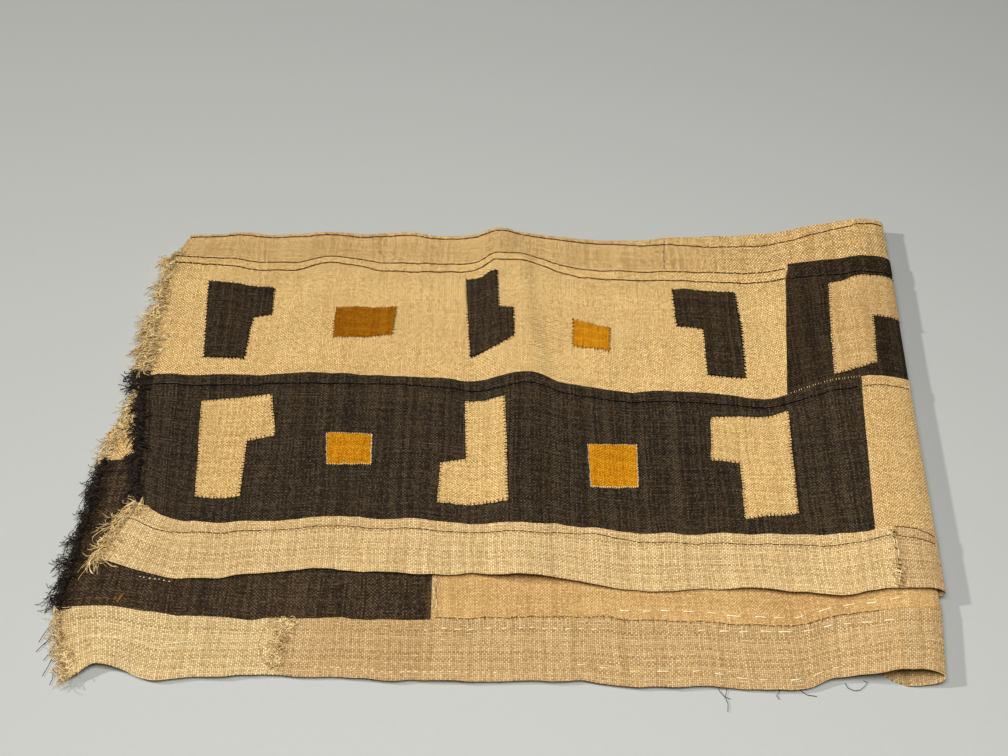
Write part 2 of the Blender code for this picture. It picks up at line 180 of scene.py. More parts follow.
# The mesh's spacing along each layer and round each fold, and across each row: close near its edges
TOP_STEP = 0.0036
SECOND_STEP = 0.0046
HIDDEN_STEP = 0.0200
FOLD_STEPS = 34
SMALL_FOLD_STEPS = 8
EDGE_PLACES = (0.0, 0.0016, 0.0034, 0.0055, 0.0080, 0.0105, 0.0130, 0.0150, 0.0170, 0.0190, 0.0215, 0.0245)
LAST_PLACES = (0.0170, 0.0140, 0.0110, 0.0060, 0.0030, 0.0012)
CELL_ACROSS = 0.0062
SHARP_ANGLE = math.radians(50.0)

# The hem or seam allowance along each row's upper edge: how far it goes past the stitches that pull it
# down, how much it stands up, and where the stitches run, as places along the cloth and below the edge
Hem = namedtuple("Hem", "past height stitched")
HEMS = {
    "A": Hem(0.0003, 0.0005, metres([(2, 5.2), (700, 6), (780, 11), (850, 15.5), (1000, 15.5),
                                     (1060, 9.5), (1110, 6)])),
    "B": Hem(-0.0006, 0.0, metres([(0, 0.6), (1110, 0.6)])),
    "C": Hem(0.0008, 0.0011, metres([(2, 19.5), (300, 19.2), (370, 16.8), (460, 18.5), (530, 21.2),
                                     (620, 19.5), (1050, 18), (1110, 17)])),
    "D": Hem(0.0008, 0.0008, metres([(4, 25.5), (50, 24), (100, 19), (220, 15.8), (590, 16.5), (655, 9.5),
                                     (720, 14), (800, 17.2), (1000, 16.5), (1075, 14), (1110, 17.5),
                                     (1140, 24)])),
}
HEM_FALL = 0.0022
HEM_FADE = 0.05
GROOVE_DEPTH = 0.0010
GROOVE_HALF = 0.0022
PUCKER_LENGTH = 0.0085
# How far the first two panels of row B reach up over row A, and how high that flap lies
FLAPS = {"cloth_B1": 0.0165, "cloth_B2": 0.0205}
FLAP_LIFT = 0.0017
FLAP_FALL = 0.005

# The long seams and edges wander as hand sewing does
WOBBLES = 14
WOBBLE_LENGTHS = (0.018, 0.110)
WOBBLE_SHARE = 0.0085

# Small unevenness of the cloth: a soft wave field
WAVES = 26
WAVE_HEIGHT = 0.00030
WAVE_LENGTHS = (0.03, 0.14)
WAVE_MEAN = 0.09
WAVES_FROM = 0.004

# The camera, as the photograph's
PHOTO_WIDTH = 1008.0
FOCAL_PIXELS = 1500.0
SENSOR = 36.0
CAMERA_BACK = 1.385
CAMERA_HEIGHT = 1.72
CAMERA_DOWN = 49.5


def smooth(value):
    """A soft step from 0 to 1."""
    value = np.clip(value, 0.0, 1.0)
    return value * value * (3.0 - 2.0 * value)


def along(layer, x):
    """A layer's height and its five edges and seams at x, on soft curves through its stations."""
    rows = sorted(layer)
    xs = [row.x for row in rows]
    i = min(max(bisect_right(xs, x) - 1, 0), len(rows) - 2)
    width = xs[i + 1] - xs[i]
    part = min(max((x - xs[i]) / width, 0.0), 1.0)

    def slope(k, column):
        if k == 0 or k == len(rows) - 1:
            return 0.0
        before = (rows[k][column] - rows[k - 1][column]) / (xs[k] - xs[k - 1])
        after = (rows[k + 1][column] - rows[k][column]) / (xs[k + 1] - xs[k])
        return 0.0 if before * after <= 0 else 2.0 * before * after / (before + after)

    values = []
    for column in range(1, 7):
        a, b = rows[i][column], rows[i + 1][column]
        first, last = slope(i, column) * width, slope(i + 1, column) * width
        cube = 2.0 * a + first - 2.0 * b + last
        square = -3.0 * a + 3.0 * b - 2.0 * first - last
        values.append(((cube * part + square) * part + first) * part + a)
    return values[0], values[1:]


def spread(start, end, step):
    """Evenly spaced values from start to end, both included."""
    count = max(1, round(abs(end - start) / step))
    return [start + (end - start) * i / count for i in range(count + 1)]


def layer_lines(name, layer, step):
    """The lines across one layer, each with its layer's name, x, height and five y values."""
    return [(name, x, *along(layer, x)) for x in spread(layer[0].x, layer[-1].x, step)]


def fold_lines(name, before, after, bulge, steps):
    """The lines round one fold, from the last line before it to the first one after."""
    x, low, high = before[1], before[2], after[2]
    centre, half = (low + high) / 2.0, (high - low) / 2.0
    lines = []
    for i in range(1, steps):
        turn = math.pi * i / steps
        share = (1.0 - math.cos(turn)) / 2.0
        ys = [a + (b - a) * share for a, b in zip(before[3], after[3])]
        lines.append((name, x + bulge * math.sin(turn), centre - half * math.cos(turn), ys))
    return lines


def end_lines(name, last, drops):
    """The lines past one end of the cloth, which carry its fringes."""
    return [(name, last[1] - out, height, last[3]) for out, height in drops]


def cloth_lines():
    """Every line across the folded cloth, from past its top end to past its lower end."""
    top = layer_lines("top", TOP_LAYER, TOP_STEP)
    bottom = layer_lines("bottom", BOTTOM_LAYER, HIDDEN_STEP)
    third = layer_lines("third", THIRD_LAYER, HIDDEN_STEP)
    second = layer_lines("second", SECOND_LAYER, SECOND_STEP)
    outer = fold_lines("outer", top[-1], bottom[0], OUTER_BULGE, FOLD_STEPS)
    small = fold_lines("small", bottom[-1], third[0], -SMALL_BULGE, SMALL_FOLD_STEPS)
    inner = fold_lines("inner", third[-1], second[0], INNER_BULGE, FOLD_STEPS)
    before = end_lines("top", top[0], TOP_END_DROP)[::-1]
    after = end_lines("second", second[-1], LOWER_END_DROP)
    return before + top + outer + bottom + small + third + inner + second + after


LINES = cloth_lines()
LAYERS = np.array([line[0] for line in LINES])
LINE_X = np.array([line[1] for line in LINES])
LINE_Z = np.array([line[2] for line in LINES])
LINE_YS = np.array([line[3] for line in LINES])
STEPS = np.hypot(np.diff(LINE_X), np.diff(LINE_Z))
MARKS = np.concatenate(([0.0], np.cumsum(STEPS)))
MARKS -= MARKS[len(TOP_END_DROP)]
LENGTH = MARKS[-1 - len(LOWER_END_DROP)]


def row_places(width):
    """Places across one row, in metres below its upper seam, close together near both edges."""
    last = [width - place for place in LAST_PLACES]
    middle = spread(EDGE_PLACES[-1], last[0], CELL_ACROSS)[1:-1]
    return list(EDGE_PLACES) + middle + last


ACROSS = np.array([row + place / ROW_WIDTHS[name] for row, name in enumerate(ROWS)
                   for place in row_places(ROW_WIDTHS[name])] + [float(len(ROWS))])


def ridge_heights(ridges, x, y):
    """How much the ridges lift the cloth at each place."""
    total = np.zeros_like(x)
    for ridge in ridges:
        way = np.array((ridge.x1 - ridge.x0, ridge.y1 - ridge.y0))
        dx, dy = x - ridge.x0, y - ridge.y0
        share = np.clip((dx * way[0] + dy * way[1]) / way.dot(way), 0.0, 1.0)
        away = np.hypot(dx - way[0] * share, dy - way[1] * share) / ridge.half_width
        total += ridge.height * (0.5 + 0.5 * np.cos(np.pi * np.minimum(away, 1.0)))
    return total


def wave_field(x, y):
    """A soft random unevenness, from waves of different lengths and directions."""
    chance = random.Random(WAVE_SEED)
    total = np.zeros_like(x)
    for _ in range(WAVES):
        length = chance.uniform(*WAVE_LENGTHS)
        turn = chance.uniform(0.0, math.pi)
        phase = chance.uniform(0.0, 2.0 * math.pi)
        way = x * math.cos(turn) + y * math.sin(turn)
        total += np.sin(2.0 * math.pi * way / length + phase) * length
    return total * WAVE_HEIGHT / WAVE_MEAN


def seam_wobbles():
    """How far each long edge and seam strays from its smooth line at every line of the cloth."""
    chance = random.Random(SEAM_SEED)
    total = np.zeros_like(LINE_YS)
    for seam in range(len(ROWS) + 1):
        for _ in range(WOBBLES):
            length = chance.uniform(*WOBBLE_LENGTHS)
            phase = chance.uniform(0.0, 2.0 * math.pi)
            total[:, seam] += np.sin(2.0 * math.pi * MARKS / length + phase) * length * WOBBLE_SHARE / 2.0
    return total


def build_lattice():
    """The middle of the cloth at every line and every place across it."""
    row = np.minimum(ACROSS.astype(int), len(ROWS) - 1)
    part = ACROSS - row
    ys = LINE_YS + seam_wobbles()
    y = ys[:, row] * (1.0 - part) + ys[:, row + 1] * part
    x = np.repeat(LINE_X[:, None], len(ACROSS), axis=1)
    z = np.repeat(LINE_Z[:, None], len(ACROSS), axis=1)
    seams = np.arange(len(ROWS) + 1)
    top_lean, outer_lean, inner_lean, lower_lean = (
        np.interp(ACROSS, seams, values)[None, :]
        for values in (TOP_END_LEAN, OUTER_FOLD_LEAN, INNER_FOLD_LEAN, LOWER_END_LEAN))
    marks = MARKS[:, None]
    layer = LAYERS[:, None]
    at_top, at_bottom, at_third, at_second = (
        layer == name for name in ("top", "bottom", "third", "second"))
    x += np.where(at_top, top_lean * (1.0 - smooth(marks / END_LEAN_REACH)), 0.0)
    near = np.where(layer == "outer", 1.0, smooth(1.0 - (TOP_LAYER[-1].x - x) / FOLD_LEAN_REACH))
    x += np.where(at_top | at_bottom | (layer == "outer"), outer_lean * near, 0.0)
    near = np.where(layer == "inner", 1.0, smooth(1.0 - (THIRD_LAYER[-1].x - x) / FOLD_LEAN_REACH))
    x += np.where(at_third | at_second | (layer == "inner"), inner_lean * near, 0.0)
    x += np.where(at_second, lower_lean * (1.0 - smooth((LENGTH - marks) / END_LEAN_REACH)), 0.0)
    z += np.where(at_second, ridge_heights(SECOND_RIDGES, x, y), 0.0)
    sag = TOP_SAG * smooth((y - TOP_SAG_FROM) / TOP_SAG_OVER)
    z += np.where(at_top, ridge_heights(TOP_RIDGES, x, y) - sag, 0.0)
    edge = np.array([along(BOTTOM_LAYER, line_x)[1][4] for line_x in LINE_X])[:, None]
    z -= np.where(at_third, THIRD_SAG * smooth((edge - THIRD_SAG_OFFSET - y) / THIRD_SAG_OVER), 0.0)
    level = smooth((LINE_Z[:, None] - WAVES_FROM) / WAVES_FROM)
    z += np.where(at_top | at_second, wave_field(x, y) * level, 0.0)
    return np.stack((x + SHIFT_X, y + SHIFT_Y, z), axis=2)


def build_normals(lattice):
    """The way the cloth's right side faces at every lattice point."""
    run = np.gradient(lattice, axis=0)
    side = np.gradient(lattice, axis=1)
    normals = np.cross(side, run)
    normals /= np.linalg.norm(normals, axis=2, keepdims=True)
    normals[LAYERS == "bottom"] = (0.0, 0.0, -1.0)
    return normals


LATTICE = build_lattice()
NORMALS = build_normals(LATTICE)
# The right side shows as far as a little past the outer fold
RIGHT_SIDE_ENDS = float(MARKS[np.nonzero(LAYERS == "outer")[0][-1]])


def on_cloth(run, across, lift):
    """The points at distances along the cloth and places across it, lifted off its middle."""
    run, across = np.asarray(run, float), np.asarray(across, float)
    i = np.clip(np.searchsorted(MARKS, run, side="right") - 1, 0, len(MARKS) - 2)
    j = np.clip(np.searchsorted(ACROSS, across, side="right") - 1, 0, len(ACROSS) - 2)
    p = ((run - MARKS[i]) / (MARKS[i + 1] - MARKS[i]))[..., None]
    q = ((across - ACROSS[j]) / (ACROSS[j + 1] - ACROSS[j]))[..., None]
    lift = np.asarray(lift, float)[..., None]

    def corner(di, dj):
        return LATTICE[i + di, j + dj] + lift * NORMALS[i + di, j + dj]

    return (corner(0, 0) * (1 - p) * (1 - q) + corner(1, 0) * p * (1 - q)
            + corner(0, 1) * (1 - p) * q + corner(1, 1) * p * q)


def run_at(layer, x):
    """The distance along the cloth at x in one layer."""
    here = np.nonzero(LAYERS == layer)[0]
    order = here[np.argsort(LINE_X[here])]
    return float(np.interp(x, LINE_X[order], MARKS[order]))


# Materials
class Graph:
    """Short ways to add shader nodes to one material."""

    def __init__(self, name):
        self.material = bpy.data.materials.new(name)
        self.material.use_nodes = True
        self.tree = self.material.node_tree
        self.shader = self.tree.nodes["Principled BSDF"]

    def plug(self, value, socket):
        """Set a socket from a number, a colour or another node's output."""
        if isinstance(value, bpy.types.NodeSocket):
            self.tree.links.new(value, socket)
        else:
            socket.default_value = value

    def math(self, operation, *values):
        """A Math node."""
        node = self.tree.nodes.new("ShaderNodeMath")
        node.operation = operation
        for value, socket in zip(values, node.inputs):
            self.plug(value, socket)
        return node.outputs[0]

    def add(self, a, b):
        """The sum of two values."""
        return self.math("ADD", a, b)

    def times(self, a, b):
        """The product of two values."""
        return self.math("MULTIPLY", a, b)

    def clamped(self, value):
        """A value kept from 0 to 1."""
        return self.math("MINIMUM", self.math("MAXIMUM", value, 0.0), 1.0)

    def centred(self, value, gain):
        """A value from 0 to 1 moved to either side of 0 and made larger."""
        return self.times(self.math("SUBTRACT", value, 0.5), gain)

    def noise(self, vector, scale, detail=2.0, roughness=0.5):
        """A Noise node's value."""
        node = self.tree.nodes.new("ShaderNodeTexNoise")
        self.plug(vector, node.inputs["Vector"])
        node.inputs["Scale"].default_value = scale
        node.inputs["Detail"].default_value = detail
        node.inputs["Roughness"].default_value = roughness
        return node.outputs["Fac"]

    def white(self, value, kind="1D", socket="W"):
        """One random value for each whole number, or for each pair of them."""
        node = self.tree.nodes.new("ShaderNodeTexWhiteNoise")
        node.noise_dimensions = kind
        self.plug(value, node.inputs[socket])
        return node.outputs["Value"]

    def vector(self, x, y, z=0.0):
        """A vector from three values."""
        node = self.tree.nodes.new("ShaderNodeCombineXYZ")
        for value, socket in zip((x, y, z), node.inputs):
            self.plug(value, socket)
        return node.outputs[0]

    def stretched(self, along_cloth, down_cloth, along_scale, down_scale, detail=2.0):
        """A Noise value drawn out along or down the cloth."""
        drawn = self.vector(self.times(along_cloth, along_scale), self.times(down_cloth, down_scale))
        return self.noise(drawn, 1.0, detail)

    def mix(self, share, a, b):
        """A mix of two colours."""
        node = self.tree.nodes.new("ShaderNodeMix")
        node.data_type = "RGBA"
        self.plug(share, node.inputs["Factor"])
        self.plug(a, node.inputs["A"])
        self.plug(b, node.inputs["B"])
        return node.outputs["Result"]

    def scale_colour(self, colour, value):
        """A colour made lighter or darker."""
        node = self.tree.nodes.new("ShaderNodeVectorMath")
        node.operation = "SCALE"
        self.plug(colour, node.inputs[0])
        self.plug(value, node.inputs["Scale"])
        return node.outputs[0]

    def gloss(self, roughness, specular):
        """The shader's roughness and specular level."""
        self.shader.inputs["Roughness"].default_value = roughness
        self.shader.inputs["Specular IOR Level"].default_value = specular


# One look of raffia: its main colour, a darker and a lighter thread colour, a stain colour, thread pitches
# along and down the cloth, how much threads, crossings, the over and under of the weave and streaks differ,
# how much it is stained, how strong the painted shade in the gaps between threads is, and its specular level
Look = namedtuple("Look", "main dark light stain warp weft "
                          "threads crossings checks streaks stained gap specular")
LOOKS = {
    "cream": Look((0.8, 0.527, 0.196), (0.44, 0.257, 0.077), (1.0, 0.78, 0.4), (0.615, 0.374, 0.117),
                  0.0026, 0.0025, 0.5, 0.9, 0.90, 0.4, 0.30, 0.62, 0.15),
    "patch": Look((0.735, 0.482, 0.172), (0.42, 0.247, 0.072), (1.0, 0.75, 0.36), (0.58, 0.345, 0.102),
                  0.0023, 0.0022, 0.8, 0.8, 0.85, 0.8, 0.25, 0.50, 0.15),
    "back": Look((0.685, 0.443, 0.164), (0.36, 0.207, 0.065), (0.96, 0.71, 0.35), (0.515, 0.297, 0.094),
                 0.0023, 0.0022, 0.9, 0.9, 1.00, 0.8, 0.40, 0.50, 0.15),
    "border": Look((0.735, 0.515, 0.229), (0.38, 0.24, 0.089), (0.98, 0.78, 0.44), (0.565, 0.368, 0.139),
                   0.0027, 0.0026, 0.9, 0.5, 0.50, 0.6, 0.30, 0.62, 0.15),
    "tan": Look((0.68, 0.418, 0.149), (0.42, 0.24, 0.071), (0.9, 0.66, 0.32), (0.49, 0.25, 0.078),
                0.0023, 0.0022, 0.7, 0.6, 0.60, 0.6, 0.55, 0.36, 0.15),
    "dark": Look((0.036, 0.0233, 0.0119), (0.009, 0.007, 0.005), (0.125, 0.088, 0.05), (0.074, 0.042, 0.019),
                 0.0025, 0.0024, 1.0, 0.8, 0.60, 1.4, 0.50, 0.50, 0.08),
    "orange": Look((0.63, 0.248, 0.0016), (0.4, 0.139, 0.001), (0.86, 0.42, 0.016), (0.5, 0.179, 0.001),
                   0.0023, 0.0022, 1.0, 1.0, 1.00, 0.8, 0.40, 0.55, 0.08),
    "brown_orange": Look((0.37, 0.122, 0.0004), (0.19, 0.061, 0.0003), (0.55, 0.22, 0.004),
                         (0.262, 0.082, 0.0003), 0.0023, 0.0022, 1.0, 1.0, 1.00, 1.0, 0.40, 0.55, 0.08),
}
# Pieces that are lighter or darker than others of their look, as shares of its red, green and blue: the
# borders more or less faded, and the two fold_shaded ones darkened as painted shade where the cloth turns
# away from the light round the outer fold
TONED = {
    "pale_border": ("border", (1.00, 1.04, 1.07)), "old_border": ("border", (0.87, 0.82, 0.79)),
    # Painted shade: the cream and the patch by the outer fold are darkened where the cloth turns away from
    # the light
    "fold_shaded_cream": ("cream", (0.92, 0.90, 0.90)), "fold_shaded_patch": ("patch", (0.89, 0.86, 0.90)),
    "deep_dark": ("dark", (0.79, 0.75, 0.70)), "dark_patch": ("dark", (0.95, 0.92, 0.86)),
    "lower_dark": ("dark", (1.22, 1.14, 1.08)),
}
# How threads wander, the noises' scales (across and along for streaks and stained columns), and the bump
WANDER = 0.010
WANDER_FINE = 0.0016
WANDER_SCALES = ((12.0, 150.0), (8.0, 130.0))
STREAK_FINE = 430.0
STREAK_LONG = 24.0
MOTTLE_SCALE = 240.0
MOTTLE_AMOUNT = 2.4
STAIN_SCALE = 5.5
STAIN_COLUMNS = (34.0, 5.0)
STAIN_GAIN = 5.0
BUMP_STRENGTH = 0.7
BUMP_DISTANCE = 0.0007
WEFT_TONES_FROM = 517.5
RAFFIA_ROUGHNESS = 0.70
DIFFUSE_ROUGHNESS = 0.8


def all_looks():
    """Every look, with the toned ones made from theirs."""
    looks = dict(LOOKS)
    for name, (source, amounts) in TONED.items():
        look = LOOKS[source]
        colours = {part: tuple(share * value for share, value in zip(amounts, getattr(look, part)))
                   for part in ("main", "dark", "light", "stain")}
        looks[name] = look._replace(**colours)
    return looks


def raffia(name, look):
    """Woven raffia: threads over and under each other, each its own tone, with streaks, old stains and
    painted shade in the gaps between threads.
    """
    graph = Graph(name)
    uv = graph.tree.nodes.new("ShaderNodeUVMap")
    split = graph.tree.nodes.new("ShaderNodeSeparateXYZ")
    graph.plug(uv.outputs[0], split.inputs[0])
    along_cloth, down_cloth = split.outputs[0], split.outputs[1]
    flat = graph.vector(along_cloth, down_cloth)
    wander, wander_down = (graph.add(graph.centred(graph.noise(flat, wide), WANDER),
                                     graph.centred(graph.noise(flat, fine), WANDER_FINE))
                           for wide, fine in WANDER_SCALES)
    warp = graph.math("DIVIDE", graph.add(along_cloth, wander), look.warp)
    weft = graph.math("DIVIDE", graph.add(down_cloth, wander_down), look.weft)
    warp_number, weft_number = graph.math("FLOOR", warp), graph.math("FLOOR", weft)
    warp_round, weft_round = (graph.math("SINE", graph.times(graph.math("FRACT", thread), math.pi))
                              for thread in (warp, weft))
    over = graph.math("FLOORED_MODULO", graph.add(warp_number, weft_number), 2.0)
    under = graph.math("SUBTRACT", 1.0, over)
    rise = graph.add(graph.times(over, warp_round), graph.times(under, weft_round))
    warp_tone, weft_tone = graph.white(warp_number), graph.white(graph.add(weft_number, WEFT_TONES_FROM))
    tone = graph.add(graph.times(over, warp_tone), graph.times(under, weft_tone))
    crossing = graph.white(graph.vector(warp_number, weft_number), "2D", "Vector")
    streak = graph.stretched(along_cloth, down_cloth, STREAK_FINE, STREAK_LONG)
    cross_streak = graph.stretched(along_cloth, down_cloth, STREAK_LONG, STREAK_FINE)
    streaks = graph.add(graph.centred(streak, 0.5 * look.streaks),
                        graph.centred(cross_streak, look.streaks))
    mottle = graph.centred(graph.noise(flat, MOTTLE_SCALE, 3.0, 0.65), MOTTLE_AMOUNT)
    value = graph.add(graph.centred(tone, look.threads), graph.centred(crossing, look.crossings))
    value = graph.add(value, graph.add(streaks, graph.centred(over, look.checks)))
    value = graph.add(value, mottle)
    lighter, darker = graph.clamped(value), graph.clamped(graph.times(value, -1.0))
    blotch = graph.noise(flat, STAIN_SCALE, 5.0, 0.62)
    column = graph.stretched(along_cloth, down_cloth, *STAIN_COLUMNS, 3.0)
    stained = graph.add(graph.math("MAXIMUM", graph.centred(blotch, 1.0), 0.0),
                        graph.math("MAXIMUM", graph.centred(column, 0.8), 0.0))
    stained = graph.math("MINIMUM", graph.times(stained, STAIN_GAIN * look.stained), 1.0)
    colour = graph.mix(stained, (*look.main, 1.0), (*look.stain, 1.0))
    colour = graph.mix(lighter, colour, (*look.light, 1.0))
    colour = graph.mix(darker, colour, (*look.dark, 1.0))
    # Painted shade and light: darker where threads dip into the gaps between them, a little lighter on their
    # crowns
    shade = graph.add(1.0 - look.gap, graph.times(rise, look.gap * 1.3))
    graph.plug(graph.scale_colour(colour, shade), graph.shader.inputs["Base Color"])
    graph.gloss(RAFFIA_ROUGHNESS, look.specular)
    graph.shader.inputs["Diffuse Roughness"].default_value = DIFFUSE_ROUGHNESS
    bump = graph.tree.nodes.new("ShaderNodeBump")
    bump.inputs["Strength"].default_value = BUMP_STRENGTH
    bump.inputs["Distance"].default_value = BUMP_DISTANCE
    graph.plug(graph.add(rise, graph.times(value, 0.5)), bump.inputs["Height"])
    graph.plug(bump.outputs[0], graph.shader.inputs["Normal"])
    return graph.material


# Thread and strand colours: darker, lighter, roughness and specular level
Strand = namedtuple("Strand", "darker lighter roughness specular")
STRANDS = {
    "straw": Strand((0.420, 0.250, 0.085), (1.000, 0.800, 0.420), 0.70, 0.08),
    "pale": Strand((0.940, 0.700, 0.360), (1.000, 0.880, 0.560), 0.70, 0.08),
    "black": Strand((0.007, 0.005, 0.004), (0.055, 0.038, 0.026), 0.60, 0.10),
    "deep_black": Strand((0.002, 0.0015, 0.001), (0.008, 0.005, 0.004), 0.80, 0.03),
    "brown": Strand((0.060, 0.022, 0.007), (0.170, 0.068, 0.022), 0.85, 0.02),
    "dark_brown": Strand((0.010, 0.006, 0.004), (0.040, 0.022, 0.012), 0.80, 0.03),
    "ochre": Strand((0.130, 0.040, 0.002), (0.340, 0.130, 0.008), 0.80, 0.05),
    "rust": Strand((0.300, 0.120, 0.020), (0.560, 0.300, 0.090), 0.80, 0.05),
}


def thread_material(name, strand):
    """Loose raffia or sewing thread: each strand has its own tone, and changes a little along it."""
    graph = Graph(name)
    island = graph.tree.nodes.new("ShaderNodeNewGeometry")
    coordinates = graph.tree.nodes.new("ShaderNodeTexCoord")
    change = graph.centred(graph.noise(coordinates.outputs["Object"], 240.0, 2.0), 1.6)
    share = graph.clamped(graph.add(island.outputs["Random Per Island"], change))
    colour = graph.mix(share, (*strand.darker, 1.0), (*strand.lighter, 1.0))
    graph.plug(colour, graph.shader.inputs["Base Color"])
    graph.gloss(strand.roughness, strand.specular)
    return graph.material


def make_mesh(name, points, faces, material, uvs=None):
    """A new object from points and faces, with a flat map where one is given."""
    mesh = bpy.data.meshes.new(name)
    mesh.from_pydata([tuple(point) for point in points], [], faces)
    if uvs is not None:
        layer = mesh.uv_layers.new(name="UVMap")
        corners = np.empty(len(mesh.loops), dtype=np.int32)
        mesh.loops.foreach_get("vertex_index", corners)
        layer.data.foreach_set("uv", np.asarray(uvs, dtype=np.float32)[corners].ravel())
    mesh.shade_smooth()
    mesh.materials.append(material)
    mesh.update()
    thing = bpy.data.objects.new(name, mesh)
    bpy.context.collection.objects.link(thing)
    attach(thing, "root")
    return thing


def relief(row, down, run):
    """How much the hem along the row's upper edge lifts the cloth, with the groove of its stitches."""
    hem = HEMS[row]
    down, run = np.asarray(down, float), np.asarray(run, float)
    stitched = np.interp(run, *zip(*hem.stitched))
    raised = hem.height * (1.0 - smooth((down - stitched - hem.past) / HEM_FALL))
    pucker = 0.8 + 0.2 * np.cos(2.0 * math.pi * run / PUCKER_LENGTH + ROWS.index(row))
    groove = GROOVE_DEPTH * pucker * np.exp(-((down - stitched) / GROOVE_HALF) ** 2)
    right_side = 1.0 - smooth((run - RIGHT_SIDE_ENDS) / HEM_FADE)
    return (raised - groove) * right_side


def flap_lift(down):
    """How high a panel's flap lies over the row above."""
    return FLAP_LIFT * (1.0 - smooth(np.asarray(down, float) / FLAP_FALL))


def metres_below(row, places):
    """How far below the row's upper seam each place across the cloth is, less than 0 in the row above."""
    first = ROWS.index(row)
    above = ROW_WIDTHS[ROWS[max(first - 1, 0)]]
    return np.where(places < first, (places - first) * above, (places - first) * ROW_WIDTHS[row])


def metres_across(row, down):
    """The place across the cloth that is so many metres below the row's upper seam."""
    first = ROWS.index(row)
    above = ROW_WIDTHS[ROWS[max(first - 1, 0)]]
    down = np.asarray(down, float)
    return first + np.where(down < 0.0, down / above, down / ROW_WIDTHS[row])


def face_lift(row, down, run):
    """How far the cloth's right side is from its middle there."""
    flap = flap_lift(down) if row == "B" else 0.0
    return THICKNESS / 2.0 + relief(row, down, run) + flap


# Panels: each row's colours, the looks they take, and where they join
Join = namedtuple("Join", "layer x shift")
Panel = namedtuple("Panel", "row colours looks joins")
PANELS = [
    Panel("A", ["cream", "cream"], ["back", "back"], [Join("top", 0.260, -0.005)]),
    Panel("B", ["cream", "dark", "cream", "dark", "cream"],
          ["cream", "deep_dark", "cream", "dark", "cream"],
          [Join("top", 0.449, -0.029), Join("bottom", 0.000, 0.0), Join("third", -0.250, 0.0),
           Join("second", 0.400, 0.0)]),
    Panel("C", ["dark", "cream", "dark", "cream", "dark"],
          # C2's look carries painted shade where the cloth turns away from the light at the outer fold
          ["dark", "fold_shaded_cream", "dark", "tan", "lower_dark"],
          [Join("top", 0.528, -0.013), Join("bottom", -0.020, 0.0), Join("third", -0.050, 0.0),
           Join("second", -0.097, 0.0)]),
    Panel("D", ["cream", "cream", "cream"], ["border", "old_border", "pale_border"],
          [Join("top", 0.540, -0.004), Join("second", -0.290, 0.003)]),
]


def panel_sheet(name, row, ends, sides, material):
    """One panel as a thin closed sheet on the cloth's folds. Its ends may lean."""
    (start_high, start_low), (stop_high, stop_low) = ends
    upper, lower = sides
    first, last = max(start_high, start_low), min(stop_high, stop_low)
    inner = MARKS[(MARKS > first + 1e-4) & (MARKS < last - 1e-4)]
    across = np.concatenate(([upper], ACROSS[(ACROSS > upper + 1e-4) & (ACROSS < lower - 1e-4)], [lower]))
    share = (across - upper) / (lower - upper)
    runs = np.repeat(inner[:, None], len(across), axis=1)
    start = start_high + (start_low - start_high) * share
    stop = stop_high + (stop_low - stop_high) * share
    runs = np.vstack((start, runs, stop))
    places = np.repeat(across[None, :], len(runs), axis=0)
    down = metres_below(row, places)
    lift = relief(row, down, runs)
    if name in FLAPS:
        lift += flap_lift(down)
    upper_points = on_cloth(runs, places, lift + THICKNESS / 2.0).reshape(-1, 3)
    lower_points = on_cloth(runs, places, lift - THICKNESS / 2.0).reshape(-1, 3)
    rows, columns = runs.shape
    count = rows * columns
    faces = []
    for i in range(rows - 1):
        for j in range(columns - 1):
            a = i * columns + j
            b = a + columns
            faces.append((a, a + 1, b + 1, b))
            faces.append((a + count, b + count, b + 1 + count, a + 1 + count))
    rim = list(range(columns))
    rim += [i * columns + columns - 1 for i in range(1, rows)]
    rim += [(rows - 1) * columns + j for j in range(columns - 2, -1, -1)]
    rim += [i * columns for i in range(rows - 2, 0, -1)]
    for a, b in zip(rim, rim[1:] + rim[:1]):
        faces.append((b, a, a + count, b + count))
    flat = np.stack((runs.ravel(), down.ravel() + ROWS.index(row)), axis=1)
    points = np.vstack((upper_points, lower_points))
    thing = make_mesh(name, points, faces, material, np.vstack((flat, flat)))
    thing.data.set_sharp_from_angle(angle=SHARP_ANGLE)
    return thing


def make_panels(materials):
    """All the panels and border strips, each in the place of its solid."""
    made = {}
    for panel in PANELS:
        row = ROWS.index(panel.row)
        side = GAP / 2.0 / ROW_WIDTHS[panel.row]
        edge = float(row) if row == 0 else row + side
        lower = row + 1.0 if row == len(ROWS) - 1 else row + 1.0 - side
        ends = [(0.0, 0.0)]
        for join in panel.joins:
            start = run_at(join.layer, join.x)
            ends.append((start, start + join.shift))
        ends.append((LENGTH, LENGTH))
        for i, (colour, look) in enumerate(zip(panel.colours, panel.looks)):
            left = GAP / 2.0 if i else 0.0
            right = GAP / 2.0 if i < len(panel.colours) - 1 else 0.0
            name = f"panel_{panel.row}{i + 1}_{colour}"
            first = [value + left for value in ends[i]]
            last = [value - right for value in ends[i + 1]]
            label = f"cloth_{panel.row}{i + 1}"
            upper = row - FLAPS[label] / ROW_WIDTHS[ROWS[row - 1]] if label in FLAPS else edge
            piece = panel_sheet(label, panel.row, (first, last), (upper, lower), materials[look])
            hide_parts(name)
            made[name] = (piece, (sum(last) - sum(first)) / 2.0, ROW_WIDTHS[panel.row])
    return made


